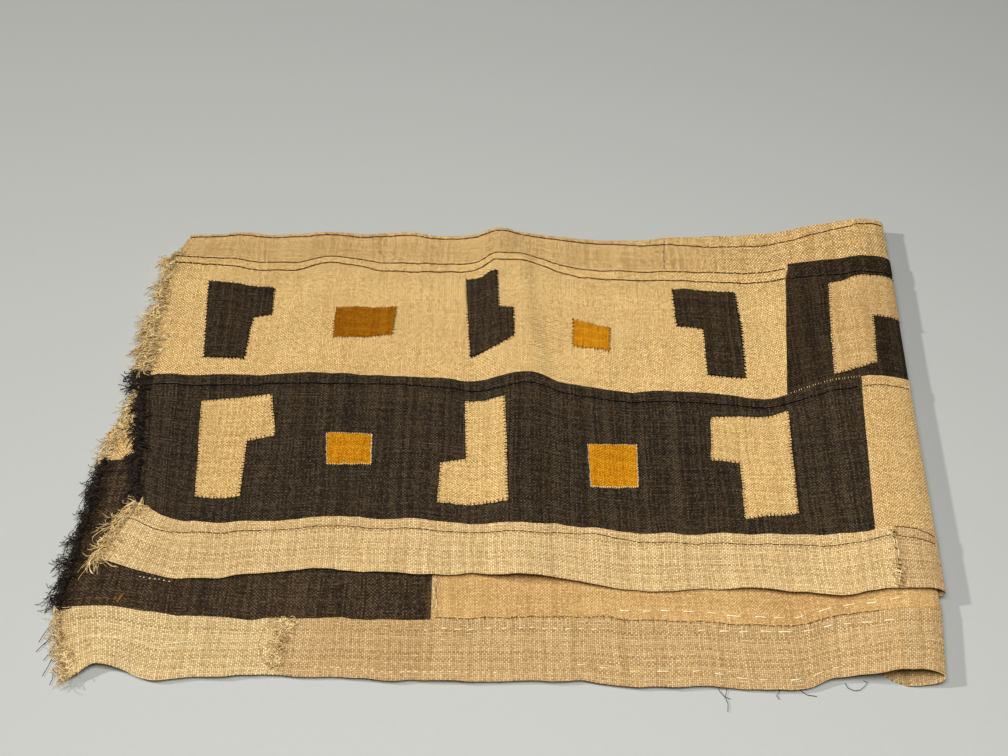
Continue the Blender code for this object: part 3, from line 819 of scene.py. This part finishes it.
# Patches: outlines as (metres along the cloth, metres below the row's upper seam)
Patch = namedtuple("Patch", "name row colour look panel thread outline")
PATCHES = [
    Patch("dark_gamma", "B", "dark", "dark_patch", "panel_B1_cream", "on_dark",
          metres([(67, 42), (171, 41), (173, 104), (144, 109), (140, 201), (80, 199)])),
    Patch("brown_rectangle", "B", "brown_orange", "brown_orange", "panel_B1_cream", "mixed",
          metres([(272, 100), (365, 86), (362, 149), (272, 161)])),
    Patch("dark_l", "B", "dark", "dark_patch", "panel_B1_cream", "on_dark",
          metres([(474, 18), (523, 25), (525, 102), (548, 104), (549, 161), (522, 177), (483, 188)])),
    Patch("orange_rectangle", "B", "orange", "orange", "panel_B1_cream", "mixed",
          metres([(641, 101), (697, 106), (694, 157), (639, 154)])),
    Patch("dark_seven", "B", "dark", "dark_patch", "panel_B1_cream", "on_dark",
          metres([(799, 23), (896, 22), (899, 92), (896, 195), (840, 200), (841, 104), (801, 102)])),
    # This patch's look carries painted shade where the cloth turns away from the light at the outer fold
    Patch("fold_gamma", "B", "cream", "fold_shaded_patch", "panel_B2_dark", "on_cream",
          metres([(1035, 22), (1068, 12), (1094, 9), (1150, 10), (1150, 106), (1095, 103), (1090, 209),
                  (1025, 225)])),
    Patch("cream_gamma", "C", "cream", "patch", "panel_C1_dark", "on_cream",
          metres([(86, 47), (191, 41), (202, 115), (162, 123), (164, 222), (99, 222)])),
    Patch("orange_square_left", "C", "orange", "orange", "panel_C1_dark", "beaded",
          metres([(277, 114), (342, 112), (344, 169), (281, 170)])),
    Patch("cream_j", "C", "cream", "patch", "panel_C1_dark", "on_cream",
          metres([(476, 39), (536, 40), (540, 227), (440, 230), (443, 159), (480, 148)])),
    Patch("orange_square_right", "C", "orange", "orange", "panel_C1_dark", "beaded",
          metres([(655, 114), (726, 100), (723, 181), (657, 189)])),
    Patch("cream_seven", "C", "cream", "patch", "panel_C1_dark", "on_cream",
          metres([(837, 45), (951, 34), (944, 224), (868, 235), (871, 131), (830, 132)])),
]
PATCH_CELL = 0.004
EDGE_STEP = 0.005
EDGE_WANDER = 0.0007
PATCH_EDGE_ROUND = 0.0030
PATCH_MAP_OFFSET = np.array((0.0011, 7.2105))


def wandering(outline, chance):
    """The patch's outline with the small unevenness of hand sewing along each side."""
    points = []
    for a, b in sides_of(outline):
        length = math.dist(a, b)
        nx, ny = (b[1] - a[1]) / length, (a[0] - b[0]) / length
        steps = max(2, round(length / EDGE_STEP))
        for i in range(steps):
            run, down = between(a, b, i / steps)
            away = chance.uniform(-1.0, 1.0) * EDGE_WANDER if i else 0.0
            points.append((run + nx * away, down + ny * away))
    return points


def edge_distance(points, outline):
    """How far each point is from the outline."""
    best = np.full(len(points), 1.0)
    for a, b in sides_of(outline):
        a, b = np.array(a), np.array(b)
        way = b - a
        share = np.clip(((points - a) @ way) / way.dot(way), 0.0, 1.0)
        best = np.minimum(best, np.linalg.norm(points - a - share[:, None] * way, axis=1))
    return best


def patch_sheet(patch, outline, material):
    """One patch as a thin closed sheet a little above its panel, its turned-in edges rounded down."""
    mesh = bmesh.new()
    mesh.faces.new([mesh.verts.new((run, down, 0.0)) for run, down in outline])
    runs, downs = zip(*outline)
    for axis, low, high in ((0, min(runs), max(runs)), (1, min(downs), max(downs))):
        away = Vector((1.0, 0.0, 0.0)) if axis == 0 else Vector((0.0, 1.0, 0.0))
        for value in spread(low, high, PATCH_CELL)[1:-1]:
            everything = mesh.verts[:] + mesh.edges[:] + mesh.faces[:]
            bmesh.ops.bisect_plane(mesh, geom=everything, dist=1e-7, plane_co=away * value, plane_no=away)
    raised = bmesh.ops.extrude_face_region(mesh, geom=mesh.faces[:])["geom"]
    for item in raised:
        if isinstance(item, bmesh.types.BMVert):
            item.co.z = 1.0
    bmesh.ops.recalc_face_normals(mesh, faces=mesh.faces[:])
    flat = np.array([vert.co[:] for vert in mesh.verts])
    inward = edge_distance(flat[:, :2], outline)
    base = PATCH_LIFT - THICKNESS / 2.0 + relief(patch.row, flat[:, 1], flat[:, 0])
    body = THICKNESS * (0.75 + 0.35 * smooth(inward / PATCH_EDGE_ROUND))
    points = on_cloth(flat[:, 0], metres_across(patch.row, flat[:, 1]), base + body * flat[:, 2])
    for vert, point in zip(mesh.verts, points):
        vert.co = point
    bmesh.ops.recalc_face_normals(mesh, faces=mesh.faces[:])
    mesh.verts.index_update()
    faces = [tuple(vert.index for vert in face.verts) for face in mesh.faces]
    mesh.free()
    thing = make_mesh(f"applied_{patch.name}", points, faces, material, flat[:, :2] + PATCH_MAP_OFFSET)
    thing.data.set_sharp_from_angle(angle=SHARP_ANGLE)
    return thing


# Threads
def tube(points, radius, sides, taper=1.0):
    """The points and faces of one thin thread along a line of points."""
    points = np.asarray(points, float)
    ways = np.gradient(points, axis=0)
    ways /= np.maximum(np.linalg.norm(ways, axis=1, keepdims=True), 1e-9)
    up = np.array((0.0, 0.0, 1.0)) if abs(ways[0][2]) < 0.9 else np.array((1.0, 0.0, 0.0))
    across = np.cross(ways, up)
    across /= np.maximum(np.linalg.norm(across, axis=1, keepdims=True), 1e-9)
    over = np.cross(across, ways)
    sizes = radius * np.linspace(1.0, taper, len(points))
    turns = np.arange(sides) * 2.0 * np.pi / sides
    circle = (np.cos(turns)[None, :, None] * across[:, None, :]
              + np.sin(turns)[None, :, None] * over[:, None, :])
    rings = points[:, None, :] + sizes[:, None, None] * circle
    faces = []
    for i in range(len(points) - 1):
        for k in range(sides):
            a, b = i * sides + k, i * sides + (k + 1) % sides
            faces.append((a, b, b + sides, a + sides))
    faces.append(tuple(range(sides))[::-1])
    last = (len(points) - 1) * sides
    faces.append(tuple(last + k for k in range(sides)))
    return rings.reshape(-1, 3), faces


def threads(name, paths, material, sides=3, taper=1.0):
    """Many threads joined in one piece. Each path is (points, radius)."""
    points, faces, start = [], [], 0
    for path, radius in paths:
        some, ring_faces = tube(path, radius, sides, taper)
        points.append(some)
        faces += [tuple(start + k for k in face) for face in ring_faces]
        start += len(some)
    return make_mesh(name, np.vstack(points), faces, material)


def laid(places, row, side=1.0, arch=0.0):
    """Points on the cloth's face through (run, down) places. On its wrong side, side is -1."""
    places = np.asarray(places, float)
    share = np.linspace(0.0, 1.0, len(places))
    lift = face_lift(row, places[:, 1], places[:, 0]) if side > 0.0 else THICKNESS / 2.0
    lift = lift + arch * np.sin(math.pi * share)
    return on_cloth(places[:, 0], metres_across(row, places[:, 1]), side * lift)


def clipped(corners, first, last):
    """The part of a line of (run, down) corners from one run to another."""
    runs, downs = zip(*corners)
    inner = [corner for corner in corners if first < corner[0] < last]
    first_down, last_down = (float(np.interp(run, runs, downs)) for run in (first, last))
    return [(first, first_down), *inner, (last, last_down)]


# A line of stitches: row, its (run, down) corners, how long the stitches and the gaps are, the thread's
# radius, which thread, and which side of the cloth shows there
SeamLine = namedtuple("SeamLine", "row corners long gap radius thread side")
# The seams run a little way round the outer fold
SEAMS_PAST_TOP = 0.052
FOLD_END = run_at("top", TOP_LAYER[-1].x) + SEAMS_PAST_TOP
SEAM_LINES = [
    SeamLine("A", HEMS["A"].stitched + [(FOLD_END, 0.0060)], 0.0110, 0.0010, 0.00118, "brown", 1.0),
    SeamLine("A", metres([(794.5, 6), (792, 30), (789.5, 70)]), 0.0060, 0.0020, 0.00080, "brown", 1.0),
    SeamLine("B", metres([(0, -14.5), (979, -14.5)]), 0.0100, 0.0012, 0.00112, "brown", 1.0),
    SeamLine("B", metres([(0, 0.6), (983, 0.6)]), 0.0100, 0.0010, 0.00116, "brown", 1.0),
    SeamLine("B", [(0.986, 0.0006), (FOLD_END, 0.0016)], 0.0100, 0.0012, 0.00100, "deep_black", 1.0),
    SeamLine("C", clipped(HEMS["C"].stitched, 0.002, 1.056), 0.0100, 0.0008, 0.00100, "deep_black", 1.0),
    SeamLine("C", clipped(HEMS["C"].stitched, 1.062, FOLD_END), 0.0090, 0.0010, 0.00075, "brown", 1.0),
    SeamLine("D", clipped(HEMS["D"].stitched, 0.004, 1.070), 0.0095, 0.0010, 0.00074, "brown", 1.0),
    SeamLine("D", clipped(HEMS["D"].stitched, 1.078, FOLD_END), 0.0090, 0.0008, 0.00075, "brown", 1.0),
    SeamLine("D", [(1.078, 0.0006), (1.108, 0.0016), (FOLD_END, 0.0120)], 0.0090, 0.0010, 0.00075,
             "brown", 1.0),
    SeamLine("C", metres([(3885, 261), (3300, 261)]), 0.0080, 0.0024, 0.00048, "brown", -1.0),
    SeamLine("C", metres([(3640.5, 249), (3580, 247.5), (3547, 246.5), (3487, 249.5), (3425, 251.2),
                          (3391, 250), (3341.5, 248.4), (3300, 248), (3260, 246)]),
             0.0155, 0.0130, 0.00105, "pale", -1.0),
    SeamLine("D", metres([(3540, 13), (3492, 10), (3418, 8), (3320, 15), (3273, 18.3)]),
             0.0150, 0.0110, 0.00110, "pale", -1.0),
    SeamLine("D", metres([(3900, 16.3), (3774, 15.6), (3668, 17.6)]), 0.0080, 0.0120, 0.00085,
             "pale", -1.0),
    SeamLine("D", metres([(3700, 70), (3620, 71.6), (3542, 71.6), (3466, 79.5), (3345, 77.5)]),
             0.0130, 0.0200, 0.00095, "pale", -1.0),
    SeamLine("D", metres([(4040, 78), (3920, 80), (3800, 79)]), 0.0050, 0.0060, 0.00075, "pale", -1.0),
    SeamLine("D", metres([(4345, 46), (4321, 48.6), (4192, 38), (4111, 36.7)]), 0.0300, 0.0010,
             0.00045, "pale", -1.0),
    SeamLine("C", metres([(4362, 250), (4300.5, 248.4), (4275, 249)]), 0.0050, 0.0040, 0.00030,
             "rust", -1.0),
    SeamLine("C", metres([(4284, 208.5), (4243, 210.8)]), 0.0018, 0.0040, 0.00075, "pale", -1.0),
]
SEAM_STRAY = 0.0006


def corner_place(corners, distance):
    """The place that is so far along a line of (run, down) corners."""
    for a, b in zip(corners, corners[1:]):
        length = math.dist(a, b)
        if distance <= length or b == corners[-1]:
            return between(a, b, distance / length)
        distance -= length
    return corners[-1]


def seam_paths(line, chance):
    """The stitches of one line."""
    total = sum(math.dist(a, b) for a, b in zip(line.corners, line.corners[1:]))
    paths = []
    done = 0.0
    while done < total:
        size = min(line.long * chance.uniform(0.75, 1.25), total - done + 0.001)
        ends = [corner_place(line.corners, place) for place in (done, done + size)]
        a, b = ((run, down + chance.uniform(-SEAM_STRAY, SEAM_STRAY)) for run, down in ends)
        places = [between(a, b, share) for share in spread(0.0, 1.0, 1.0 / max(2, round(size / 0.004)))]
        paths.append((laid(places, line.row, line.side, 0.00025), line.radius))
        done += size + line.gap * chance.uniform(0.6, 1.5)
    return paths


# Overcast stitches over the patches' edges: thread, how far apart, how far in and out they reach, radius
Overcast = namedtuple("Overcast", "thread apart inside outside radius")
OVERCASTS = {
    "on_cream": Overcast("dark_brown", 0.0056, 0.0034, 0.0006, 0.00070),
    "on_dark": Overcast("deep_black", 0.0062, 0.0012, 0.0021, 0.00105),
    "beaded": Overcast("pale", 0.0028, 0.0006, 0.0010, 0.00062),
    "mixed": Overcast("ochre", 0.0056, 0.0012, 0.0022, 0.00090),
    "flap": Overcast("straw", 0.0042, 0.0016, 0.0010, 0.00045),
}


def overcast_paths(row, outline, kind, chance, lift, closed=True):
    """Short stitches over an edge, from the upper face to the cloth beside it."""
    paths = []
    turn = 1.0 if signed_area(outline) > 0 else -1.0
    carried = 0.0
    for a, b in sides_of(outline) if closed else zip(outline, outline[1:]):
        length = math.dist(a, b)
        nx, ny = (b[1] - a[1]) / length * turn, (a[0] - b[0]) / length * turn
        while carried < length:
            run, down = between(a, b, carried / length)
            carried += kind.apart * chance.uniform(0.7, 1.3)
            inside = kind.inside * chance.uniform(0.6, 1.3)
            outside = kind.outside * chance.uniform(0.6, 1.4)
            slant = chance.uniform(-0.0008, 0.0008)
            base = face_lift(row, down, run)
            runs, downs, lifts = np.transpose([
                (run - nx * inside - ny * slant, down - ny * inside + nx * slant, lift + 0.0002),
                (run - nx * inside * 0.4, down - ny * inside * 0.4, lift + 0.0005),
                (run + nx * 0.0003, down + ny * 0.0003, lift + 0.0002),
                (run + nx * outside, down + ny * outside, 0.0)])
            points = on_cloth(runs, metres_across(row, downs), lifts + base)
            paths.append((points, kind.radius * chance.uniform(0.8, 1.2)))
        carried -= length
    return paths


# Fringes: which end and row, strand colour, how far they start above the row and end below its lower edge,
# tufts, strands in a tuft, lengths, lean and splay in radians, curl, how high they stand and droop, radius
Fringe = namedtuple("Fringe", "name end row slot thread above below tufts each shortest longest "
                              "lean splay curl high droop radius")
FRINGES = [
    Fringe("top_B", "top", "B", "cream", "straw", 0.012, -0.003, 84, 9, 0.016, 0.046, 0.15, 0.65, 3.4,
           0.009, 0.004, 0.00078),
    Fringe("top_C", "top", "C", "dark", "black", 0.004, 0.0, 100, 9, 0.016, 0.036, 0.10, 0.65, 3.6,
           0.007, 0.003, 0.00072),
    Fringe("top_D", "top", "D", "cream", "straw", 0.004, 0.004, 34, 7, 0.014, 0.044, 0.70, 0.40, 1.6,
           0.007, 0.002, 0.00085),
    Fringe("lower_B", "lower", "B", "cream", "straw", 0.0, 0.0, 70, 7, 0.012, 0.034, 0.20, 0.70, 3.0,
           0.006, 0.0, 0.00070),
    Fringe("lower_C", "lower", "C", "dark", "black", 0.0, 0.004, 110, 7, 0.014, 0.038, 0.25, 0.90, 6.0,
           0.009, 0.0, 0.00066),
    Fringe("lower_D", "lower", "D", "cream", "straw", 0.0, 0.004, 26, 6, 0.008, 0.026, 0.60, 0.60, 2.0,
           0.006, 0.0, 0.00070),
]
STRAND_STEP = 0.0028
ROOT_INSIDE = 0.004
FRINGE_LIMIT = 0.058


def strand_path(fringe, down, heading, turn, length, peak, chance):
    """One strand, from a little inside the cloth's end outwards, curling as it goes."""
    upper = fringe.end == "top"
    outward, start, side = (-1.0, 0.0, 1.0) if upper else (1.0, LENGTH, -1.0)
    count = max(5, round((length + ROOT_INSIDE) / STRAND_STEP) + 1)
    step = (length + ROOT_INSIDE) / (count - 1)
    out, angle = -ROOT_INSIDE, heading * 0.3
    places = []
    for k in range(count):
        share = k / (count - 1)
        arch = peak * math.sin(math.pi * min(share * 1.15, 1.0))
        raised = THICKNESS * 0.7 + arch - fringe.droop * share ** 2
        places.append((start + outward * min(out, FRINGE_LIMIT), down, raised))
        out += step * math.cos(angle)
        down += step * math.sin(angle)
        angle += turn * step / length + chance.gauss(0.0, 0.16)
        if k == 1:
            angle += heading * 0.7
    places = np.array(places)
    return on_cloth(places[:, 0], metres_across(fringe.row, places[:, 1]), side * places[:, 2])


def fringe_paths(fringe, chance):
    """The strands of one fringe, in tufts."""
    width = ROW_WIDTHS[fringe.row] + fringe.below + fringe.above
    paths = []
    for tuft in range(fringe.tufts):
        centre = (tuft + chance.random()) * width / fringe.tufts - fringe.above
        heading = chance.gauss(fringe.lean, fringe.splay)
        curl = chance.gauss(0.0, fringe.curl)
        reach = fringe.shortest + (fringe.longest - fringe.shortest) * chance.random() ** 1.3
        for _ in range(fringe.each):
            down = centre + chance.gauss(0.0, width / fringe.tufts * 0.7)
            down = min(max(down, -fringe.above), ROW_WIDTHS[fringe.row] + fringe.below)
            path = strand_path(fringe, down, heading + chance.gauss(0.0, 0.35),
                               curl + chance.gauss(0.0, 0.8), reach * chance.uniform(0.5, 1.1),
                               fringe.high * chance.random(), chance)
            paths.append((path, fringe.radius * chance.uniform(0.6, 1.25)))
    return paths


# Small matted places of loose strands: row, run, down, their spread along and down, how many, their length,
# curl, thread, radius, and which side of the cloth shows there
Mat = namedtuple("Mat", "row run down wide tall count longest curl thread radius side")
MATS = [
    Mat("D", 4.083, 0.0090, 0.0110, 0.0080, 80, 0.016, 4.0, "straw", 0.00070, -1.0),
    Mat("D", 4.088, 0.0300, 0.0055, 0.0120, 50, 0.015, 3.5, "straw", 0.00065, -1.0),
    Mat("D", 4.090, 0.0560, 0.0060, 0.0160, 90, 0.014, 4.0, "straw", 0.00062, -1.0),
    Mat("D", 4.094, 0.0740, 0.0085, 0.0060, 60, 0.014, 4.0, "straw", 0.00062, -1.0),
    Mat("D", 4.089, 0.0480, 0.0060, 0.0240, 30, 0.012, 3.0, "rust", 0.00045, -1.0),
    Mat("D", 4.364, 0.0700, 0.0060, 0.0180, 70, 0.016, 3.0, "straw", 0.00065, -1.0),
    Mat("C", -0.008, 0.0100, 0.0130, 0.0150, 190, 0.024, 3.5, "black", 0.00070, 1.0),
    Mat("B", 4.370, 0.1960, 0.0080, 0.0300, 70, 0.020, 3.5, "straw", 0.00060, -1.0),
    Mat("D", 0.004, 0.0060, 0.0080, 0.0060, 40, 0.022, 2.5, "straw", 0.00070, 1.0),
]


def mat_paths(mat, chance):
    """The strands of one matted place."""
    paths = []
    for _ in range(mat.count):
        run, down = chance.gauss(mat.run, mat.wide * 0.5), chance.gauss(mat.down, mat.tall * 0.6)
        angle, turn = chance.uniform(0.0, 2.0 * math.pi), chance.gauss(0.0, mat.curl)
        length = mat.longest * chance.uniform(0.4, 1.0)
        places = []
        for k in range(6):
            places.append((run, down))
            run += length / 5.0 * math.cos(angle)
            down += length / 5.0 * math.sin(angle)
            angle += turn / 5.0
        paths.append((laid(places, mat.row, mat.side, chance.uniform(0.0005, 0.0030)), mat.radius))
    return paths


# Single strands that show: thread, row, radius, side, how far they arch, and their (run, down) places
Single = namedtuple("Single", "thread row radius side arch places")
SINGLES = [
    Single("rust", "D", 0.00035, -1.0, 0.002, metres([(4094, 2), (4105, 8), (4112, 24), (4114.5, 41),
                                                      (4112, 56), (4107, 70), (4100, 74), (4092, 70)])),
    Single("rust", "C", 0.00110, -1.0, 0.003, metres([(4302.9, 255.9), (4300, 248), (4296.9, 239)])),
    Single("pale", "D", 0.00055, 1.0, 0.002, metres([(1082, 60), (1077, 70), (1074, 80), (1072, 90)])),
]
# The raffia stitches across row D's join near the outer fold: (run, down) pairs
JOIN_STITCHES = metres([
    (1078, 6, 1070, 12), (1070, 5, 1079, 11), (1067, 10, 1073, 15), (1080, 12, 1072, 17),
    (1073, 18, 1074, 30), (1077, 19, 1077, 32), (1072, 30, 1073, 44), (1078, 34, 1077, 48),
    (1074, 46, 1075, 58), (1068, 56, 1079, 60), (1068, 62, 1080, 66), (1069, 68, 1081, 72),
    (1070, 74, 1081, 77), (1070, 79, 1080, 83), (1080, 57, 1082, 72), (1063, 62, 1068, 78),
    (1068, 78, 1073, 92), (1081, 70, 1079, 87), (1075, 83, 1078, 91), (1066, 86, 1080, 91),
])
JOIN_STITCH_ARCH = 0.0016
JOIN_STITCH_RADIUS = 0.00085
# Painted shade between them: short dark threads laid in the gaps, where they run and slant, how thick, and
# how far down each shows
JOIN_RUN = 1.0715
JOIN_SLANT = 0.03
JOIN_SHADE_RADIUS = 0.00072
JOIN_SHADE_PLACES = (0.0075, 0.0160, 0.0240, 0.0330, 0.0500, 0.0570, 0.0640, 0.0700, 0.0760, 0.0820)
# Loose ends on the floor beside and in front of the cloth: their places as x, y
FLOOR_THREADS = [metres(line) for line in (
    [(287, -410), (287.4, -420), (284, -430), (287, -440), (285.6, -451)],
    [(279, -410), (277, -420), (283, -429), (290.5, -433)],
    [(354.9, -413), (354, -422.8), (350, -428), (352.6, -433)],
    [(379, -410), (380.8, -419.9), (389, -427), (401, -429)],
    [(440, -410), (442.7, -417.1), (450, -421), (457.6, -419.9), (464, -415), (469, -409),
     (464, -406)],
    [(-578, -313), (-590, -317), (-601, -332), (-607.5, -350)],
    [(-577, -320), (-586, -326), (-592, -340), (-600, -354)],
    [(-578, -336), (-590, -342), (-601, -353), (-608, -364)],
    [(-576, -344), (-585, -351), (-589, -364), (-596, -377)],
    [(-574, -362), (-584, -369), (-588, -385), (-593, -400)],
    [(-574, -382), (-580, -390), (-579, -404), (-581, -413)],
)]
FLOOR_THREAD_RADIUS = 0.00042
FLOOR_THREAD_LIFT = 0.0006
# Along the cloth: the stitches of row B's flap over row C, the dark ones across the seam above row D, and
# the frayed strands at row C's join
FLAP_STITCHES = (0.955, 1.064)
SEAM_TICKS = (3.880, 3.300)
FRAYED_RUN = 3.8905
FRAYED_STRANDS = 46
# The stitches down row D's lower end: from, to and how far apart
END_STITCHES = (0.003, 0.088, 0.0055)


def frayed_join_paths(chance):
    """The raw turned edges beside row C's join on the second layer."""
    paths = []
    for _ in range(FRAYED_STRANDS):
        run = FRAYED_RUN - abs(chance.gauss(0.0, 0.0050))
        down = chance.uniform(0.186, 0.240)
        length = chance.uniform(0.010, 0.030)
        places = [(run + chance.gauss(0.0, 0.0005), min(down + length * k / 5.0, 0.2600))
                  for k in range(6)]
        paths.append((laid(places, "C", -1.0, chance.uniform(0.0003, 0.0015)), 0.00040))
    return paths


def seam_tick_paths(chance):
    """Short dark stitches across the seam above row D on the second layer."""
    paths = []
    ticks = spread(*SEAM_TICKS, 0.020)
    for a_run, b_run in zip(ticks, ticks[1:]):
        run = a_run + (b_run - a_run) * chance.random()
        reach = chance.uniform(0.002, 0.004)
        places = [(run, -reach), (run + 0.0005, 0.0), (run, reach)]
        paths.append((laid(places, "D", -1.0, 0.0003), 0.0004))
    return paths


def join_shade_path(down):
    """One short dark thread laid as painted shade in a gap between the raffia stitches of row D's join."""
    places = [(JOIN_RUN + away + JOIN_SLANT * down, down + lower)
              for away, lower in metres([(0.0, 0.0), (3.5, 3.0), (5.5, 3.6)])]
    return laid(places, "D", 1.0, 0.0003), JOIN_SHADE_RADIUS


def make_threads(materials, patch_edges, chance):
    """All the stitches and loose strands that are not a fringe."""
    groups = {name: [] for name in STRANDS}
    for line in SEAM_LINES:
        groups[line.thread] += seam_paths(line, chance)
    for patch, outline in patch_edges:
        kind = OVERCASTS[patch.thread]
        groups[kind.thread] += overcast_paths(patch.row, outline, kind, chance, PATCH_LIFT - 0.0002)
    flap_edge = [(run, 0.0) for run in spread(*FLAP_STITCHES, 0.012)]
    groups["straw"] += overcast_paths("C", flap_edge, OVERCASTS["flap"], chance, 0.0, closed=False)
    groups["brown"] += seam_tick_paths(chance)
    for a_run, a_down, b_run, b_down in JOIN_STITCHES:
        a, b = (a_run, a_down), (b_run, b_down)
        path = laid([a, between(a, b, 0.5), b], "D", 1.0, JOIN_STITCH_ARCH)
        groups["straw"].append((path, JOIN_STITCH_RADIUS))
    # Painted shade: dark threads in the gaps between the join's stitches
    groups["dark_brown"] += [join_shade_path(down) for down in JOIN_SHADE_PLACES]
    for down in spread(*END_STITCHES):
        places = [(LENGTH - chance.uniform(0.003, 0.007), down), (LENGTH - 0.001, down + 0.0010),
                  (LENGTH + 0.001, down + 0.0015)]
        groups[chance.choice(("brown", "straw"))].append((laid(places, "D", -1.0, 0.0006), 0.0006))
    for single in SINGLES:
        path = laid(single.places, single.row, single.side, single.arch)
        groups[single.thread].append((path, single.radius))
    for mat in MATS:
        groups[mat.thread] += mat_paths(mat, chance)
    groups["straw"] += frayed_join_paths(chance)
    for line in FLOOR_THREADS:
        points = [(x, y, FLOOR_THREAD_RADIUS + FLOOR_THREAD_LIFT) for x, y in line]
        groups["dark_brown"].append((points, FLOOR_THREAD_RADIUS))
    for name, paths in groups.items():
        threads(f"stitches_{name}", paths, materials[name])


def make_cloth():
    """The whole cloth: its panels, patches, threads and fringes, with each panel's flat size worked out."""
    materials = {name: raffia(f"raffia_{name}", look) for name, look in all_looks().items()}
    strands = {name: thread_material(f"{name}_thread", strand) for name, strand in STRANDS.items()}
    panels = make_panels(materials)
    chance = random.Random(THREAD_SEED)
    patches, edges = [], []
    for patch in PATCHES:
        outline = wandering(patch.outline, chance)
        piece = patch_sheet(patch, outline, materials[patch.look])
        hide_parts(f"patch_{patch.name}")
        patches.append((patch, piece))
        edges.append((patch, outline))
    make_threads(strands, edges, chance)
    for fringe in FRINGES:
        paths = fringe_paths(fringe, chance)
        piece = threads(f"strands_{fringe.name}", paths, strands[fringe.thread], 3, 0.7)
        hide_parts(f"fringe_{fringe.name}")


# The room: floor colours with a painted light falloff from front to back, and lights as position, power, size
# and colour
FLOOR_HALF = 6.0
FLOOR_SINK = 0.0002
FLOOR_COLOURS = ((0.482, 0.490, 0.463, 1.0), (0.520, 0.528, 0.501, 1.0))
# Painted light falloff on the floor: lighter at the front, darker at the back, between these places
FLOOR_FRONT, FLOOR_BACK = -0.60, 0.90
FLOOR_PAINTED_FALLOFF = (1.02, 0.96)
KEY_PLACE = (-10.4, 1.9, 5.75)
KEY_POWER = 1045.0
KEY_SIZE = 0.60
PANEL_PLACE = (0.05, -0.78, 2.6)
PANEL_TARGET = (0.05, -0.58, 0.0)
PANEL_POWER = 68.0
PANEL_SIZE = (2.4, 1.6)
ROOM_STRENGTH = 0.055


def make_floor():
    """A plain pale floor, with painted light falloff: a little lighter at the front and darker towards the
    back.
    """
    graph = Graph("pale_floor")
    coordinates = graph.tree.nodes.new("ShaderNodeTexCoord")
    share = graph.noise(coordinates.outputs["Object"], 120.0, 6.0, 0.75)
    split = graph.tree.nodes.new("ShaderNodeSeparateXYZ")
    graph.plug(coordinates.outputs["Object"], split.inputs[0])
    back = graph.math("SUBTRACT", split.outputs[1], FLOOR_FRONT)
    back = graph.clamped(graph.math("DIVIDE", back, FLOOR_BACK - FLOOR_FRONT))
    front, far = FLOOR_PAINTED_FALLOFF
    painted_falloff = graph.add(front, graph.times(back, far - front))
    colour = graph.scale_colour(graph.mix(share, *FLOOR_COLOURS), painted_falloff)
    graph.plug(colour, graph.shader.inputs["Base Color"])
    graph.gloss(0.9, 0.1)
    mesh = bpy.data.meshes.new("floor")
    corners = [(x * FLOOR_HALF, y * FLOOR_HALF, 0.0) for x, y in ((-1, -1), (1, -1), (1, 1), (-1, 1))]
    mesh.from_pydata(corners, [], [(0, 1, 2, 3)])
    mesh.materials.append(graph.material)
    floor = bpy.data.objects.new("floor", mesh)
    floor.location.z = -FLOOR_SINK
    bpy.context.collection.objects.link(floor)


def make_area_light(name, place, target, power, colour):
    """An area light at a place, facing a target."""
    light = bpy.data.lights.new(name, "AREA")
    light.energy = power
    light.color = colour
    lamp = bpy.data.objects.new(name, light)
    lamp.location = place
    lamp.rotation_euler = (Vector(target) - Vector(place)).to_track_quat("-Z", "Y").to_euler()
    bpy.context.collection.objects.link(lamp)
    return light


def make_light():
    """A far light from the left, a large soft panel above the front and an even fill."""
    key = make_area_light("key", KEY_PLACE, (0.0, 0.0, 0.0), KEY_POWER, (1.0, 0.985, 0.955))
    key.shape = "DISK"
    key.size = KEY_SIZE
    panel = make_area_light("panel", PANEL_PLACE, PANEL_TARGET, PANEL_POWER, (1.0, 1.0, 1.0))
    panel.shape = "RECTANGLE"
    panel.size, panel.size_y = PANEL_SIZE
    world = bpy.data.worlds.new("soft_room")
    world.use_nodes = True
    world.node_tree.nodes["Background"].inputs[0].default_value = (0.98, 0.99, 1.0, 1.0)
    world.node_tree.nodes["Background"].inputs[1].default_value = ROOM_STRENGTH
    bpy.context.scene.world = world
    bpy.context.scene.view_settings.view_transform = "Standard"


def make_camera():
    """The photograph's view: from the front, half down."""
    data = bpy.data.cameras.new("camera")
    data.sensor_width = SENSOR
    data.lens = SENSOR * FOCAL_PIXELS / PHOTO_WIDTH
    camera = bpy.data.objects.new("camera", data)
    camera.location = (SHIFT_X, SHIFT_Y - CAMERA_BACK, CAMERA_HEIGHT)
    camera.rotation_euler = (math.radians(90.0 - CAMERA_DOWN), 0.0, 0.0)
    bpy.context.collection.objects.link(camera)
    bpy.context.scene.camera = camera


make_camera()
make_floor()
make_light()
make_cloth()
